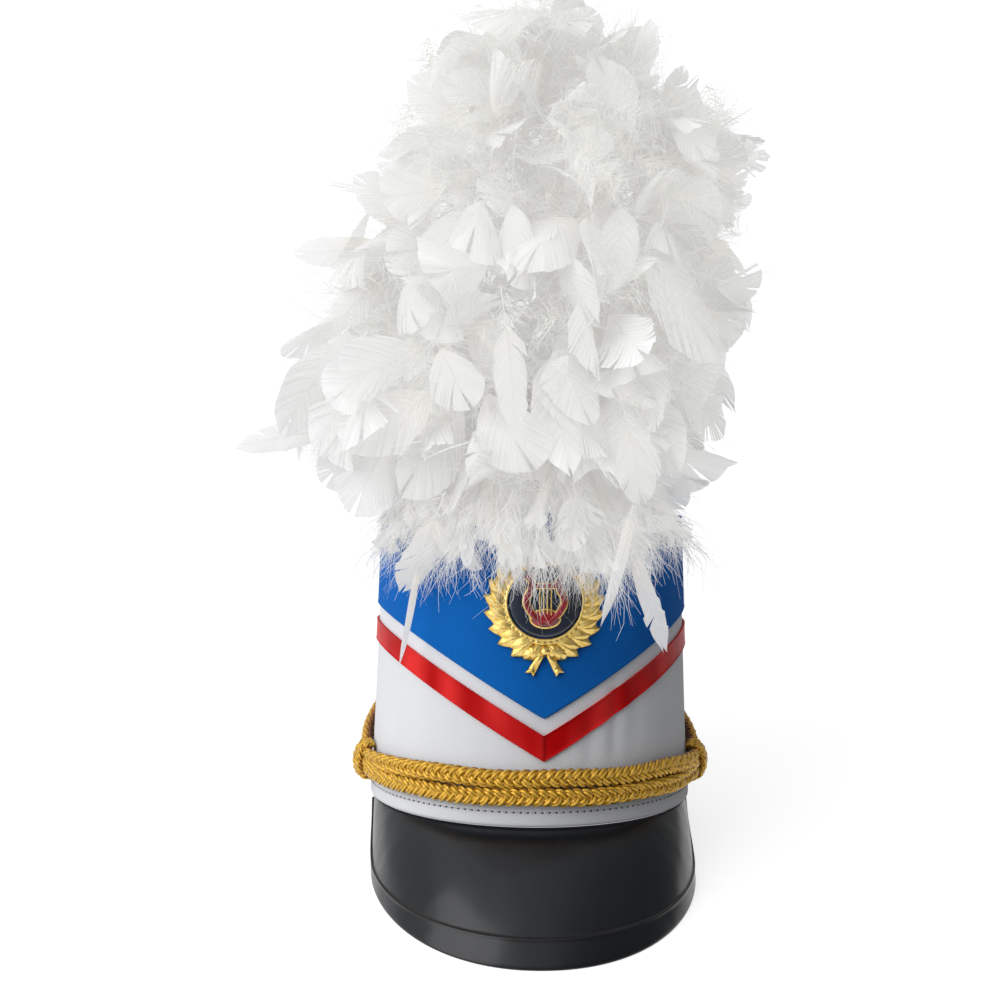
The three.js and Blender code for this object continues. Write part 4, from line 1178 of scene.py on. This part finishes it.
tuft = {"count": 135, "hairs": 72, "lowest": 165, "highest": 415, "shortest": 24, "longest": 46}


# Tufts of down between the feathers: bare shafts with loose barbs all along them
def downTufts(rng, count):
    height = rng.uniform(tuft["lowest"], tuft["highest"], count)
    angle = rng.uniform(-np.pi, np.pi, count)
    middleX, middleY, halfX, halfY = plumeOutline(height)
    depth = rng.uniform(0.68, 0.86, count) + 0.11 * eased(np.abs(np.cos(angle)), 0.2, 0.8)
    tip = np.stack([middleX + halfX * depth * np.sin(angle), middleY - halfY * depth * np.cos(angle), height], -1)
    chord = unit(np.stack([np.sin(angle), -np.cos(angle), -0.5 + 0 * angle], -1) + rng.normal(0, 0.7, (count, 3)))
    root = tip - chord * rng.uniform(tuft["shortest"], tuft["longest"], count)[:, None]
    return featherSet(
        rng, root, tip, np.array([0, 0, -1.0]) + 0 * chord,
        bend=rng.uniform(0.3, 1.2, count), roll=rng.uniform(-3, 3, count), width=rng.uniform(12, 22, count),
        fluff=0.85, shaft=0.2, loose=0.1,
    )  # fmt: skip


rng = np.random.default_rng(41)
tufts = downTufts(rng, tuft["count"])
addPiece("plumeDown", cleared([downStrips(rng, tufts, tuft["hairs"])]), whiteDown, "white_feather")


fall = {"count": 90, "right": -50, "left": 46, "lowest": 122, "sideRise": 10, "uneven": 24, "rootHeight": 174}


# Feathers that fall over the crown's front: from the plume's foot out and down past the crown's edge
def fallFeathers(rng, count):
    angle = np.radians(rng.uniform(fall["right"], fall["left"], count))
    turned = angle + rng.normal(0, 0.1, count)
    lowest = fall["lowest"] + fall["sideRise"] * np.abs(angle / 0.9) ** 2 + rng.uniform(0, fall["uneven"], count)
    root = onCrown(angle, fall["rootHeight"] + rng.uniform(-8, 26, count), rng.uniform(-26, -6, count))
    tip = onCrown(turned, lowest, rng.uniform(6, 17, count))
    curl = np.array([0, 0, -0.4]) - 0.8 * crownOutward(angle)
    return featherSet(
        rng, root, tip, curl,
        bend=rng.uniform(0.5, 1.2, count), roll=rng.normal(0, 0.35, count), width=rng.uniform(7, 13, count),
        fluff=rng.uniform(0.66, 0.86, count), twist=rng.normal(0, 0.4, count), sway=rng.normal(0, 0.15, count),
        cup=rng.normal(0.1, 0.15, count), ragged=rng.uniform(0.3, 0.8, count), loose=0.2,
    )  # fmt: skip


rng = np.random.default_rng(21)
fallen = fallFeathers(rng, fall["count"])
fallParts = featherParts(rng, fallen, vanes=12, downs=100, hair=0.42, lean=27, reaching=1.9, spread=0.6)
addPiece("plumeFall", fallParts, whiteFeather, "white_feather", "plume_fall")
print("feathers laid")

post = frame["nodes"]["plume_post"]
post.data.materials.clear()
post.data.materials.append(plumeStem)

# Floor, light and camera

studio = {"floorRadius": 7.0, "floorShade": 0.5, "floorGlow": 0.72}


# A plain round floor. The room's own lower half stands for its bounce, so it is left out of diffuse light.
def paleFloor():
    turn = 2 * np.pi * np.arange(96) / 96
    radius = np.array([0.001, 0.2, 0.6, 1.5, 3.0, studio["floorRadius"]])[:, None]
    points = np.stack(np.broadcast_arrays(radius * np.cos(turn), radius * np.sin(turn), 0 * radius), -1)
    grid = gridPart(points, roundColumns=True)
    mesh = bpy.data.meshes.new("paleFloor")
    mesh.from_pydata(grid["points"].tolist(), [], grid["faces"][0].tolist())
    mesh.update()
    floor = bpy.data.objects.new("paleFloor", mesh)
    bpy.context.scene.collection.objects.link(floor)
    floor.visible_diffuse = False
    glow = {"Emission_Color": (1, 1, 1, 1), "Emission_Strength": studio["floorGlow"]}
    light, dark = (studio["floorShade"],) * 3, (studio["floorShade"] - 0.01,) * 3
    paper = mottled("paleFloor", dark, light, 3.0, Roughness=0.9, Specular_IOR_Level=0.1, **glow)
    mesh.materials.append(paper)


paleFloor()

room = {"base": 0.2, "above": 1.1, "behind": 0.5, "left": 0.66, "backdrop": 1.15}


# The room is bright above, more so on the left, and dim elsewhere. The camera sees a plain white backdrop.
def roomLight():
    world = bpy.data.worlds.new("studioRoom")
    bpy.context.scene.world = world
    world.use_nodes = True
    tree = world.node_tree
    coords = node(tree, "TexCoord")
    parts = node(tree, "SeparateXYZ", {0: coords.outputs["Generated"]})

    def glow(axis, low, high, strength):
        return node(
            tree,
            "MapRange",
            {"Value": parts.outputs[axis], "From Min": low, "From Max": high, "To Max": strength},
            interpolation_type="SMOOTHSTEP",
        ).outputs["Result"]

    above = glow("Z", 0.3, 0.8, room["above"])
    behind = glow("Y", 0.62, 0.84, room["behind"])
    left = glow("X", 0.2, -0.85, room["left"])
    shaded = node(tree, "MapRange", {"Value": parts.outputs["X"], "From Min": 0.55, "From Max": -0.3, "To Min": 0.28})
    above = node(tree, "Math", {0: above, 1: shaded.outputs["Result"]}, operation="MULTIPLY").outputs[0]
    most = node(tree, "Math", {0: above, 1: behind}, operation="MAXIMUM")
    most = node(tree, "Math", {0: most.outputs[0], 1: left}, operation="MAXIMUM")
    total = node(tree, "Math", {0: most.outputs[0], 1: room["base"]}, operation="MAXIMUM")
    background = tree.nodes["Background"]
    background.inputs["Color"].default_value = (0.98, 0.99, 1.0, 1)
    seen = node(tree, "LightPath").outputs["Is Camera Ray"]
    strength = node(tree, "Mix", {0: seen, 2: total.outputs[0], 3: room["backdrop"]})
    tree.links.new(strength.outputs[0], background.inputs["Strength"])


roomLight()


def softbox(name, place, target, size, power, receivers=None):
    light = bpy.data.lights.new(name, "AREA")
    light.shape = "RECTANGLE"
    light.size, light.size_y = size
    light.energy = power
    lamp = bpy.data.objects.new(name, light)
    if receivers:
        lamp.light_linking.receiver_collection = receivers
    away = unit(np.array(place, float) - np.array(target, float))
    right = unit(np.cross([0.0, 0.0, 1.0], away))
    up = np.cross(away, right)
    basis = np.eye(4)
    basis[:3, 0], basis[:3, 1], basis[:3, 2], basis[:3, 3] = right, up, away, place
    lamp.matrix_world = Matrix(basis.tolist())
    bpy.context.scene.collection.objects.link(lamp)


softbox("keyLeft", (-1.25, -0.75, 0.95), (0, 0, 0.2), (1.5, 1.5), 15.5)
softbox("plumeFill", (0.75, -1.25, 0.55), (0, 0, 0.33), (1.2, 1.2), 11, plumePieces)

view = {"distance": 800, "height": 160, "yaw": 0.05, "roll": 0.010}
lens = {"sensor": 36, "picture": 1000, "focal": 1438, "middle": 532}  # the last three in pixels


# The camera stands level with the middle of the crown and looks at right angles to the crown's own axis
def photoCamera():
    data = bpy.data.cameras.new("photoCamera")
    data.sensor_width = lens["sensor"]
    data.lens = lens["sensor"] * lens["focal"] / lens["picture"]
    data.shift_x = (lens["picture"] / 2 - lens["middle"]) / lens["picture"]
    data.clip_start = 0.01
    yaw, roll = view["yaw"], view["roll"]
    forward = np.array([math.sin(yaw), math.cos(yaw), 0.0])
    right = np.array([math.cos(yaw), -math.sin(yaw), 0.0])
    up = np.array([0.0, 0.0, 1.0])
    place = -view["distance"] * forward + (0, 0, view["height"])
    rolledRight = math.cos(roll) * right + math.sin(roll) * up
    rolledUp = math.cos(roll) * up - math.sin(roll) * right
    basis = np.eye(4)
    basis[:3, 0] = rolledRight @ hatAxes
    basis[:3, 1] = rolledUp @ hatAxes
    basis[:3, 2] = -forward @ hatAxes
    basis[:3, 3] = toRow(place)
    camera = bpy.data.objects.new("photoCamera", data)
    camera.matrix_world = Matrix(basis.tolist())
    bpy.context.scene.collection.objects.link(camera)
    bpy.context.scene.camera = camera


photoCamera()
bpy.context.scene.view_settings.view_transform = "Standard"
bounces = bpy.context.scene.cycles
bounces.caustics_reflective, bounces.caustics_refractive = False, False
bounces.max_bounces, bounces.diffuse_bounces, bounces.transmission_bounces = 4, 3, 3

print("scene ready")
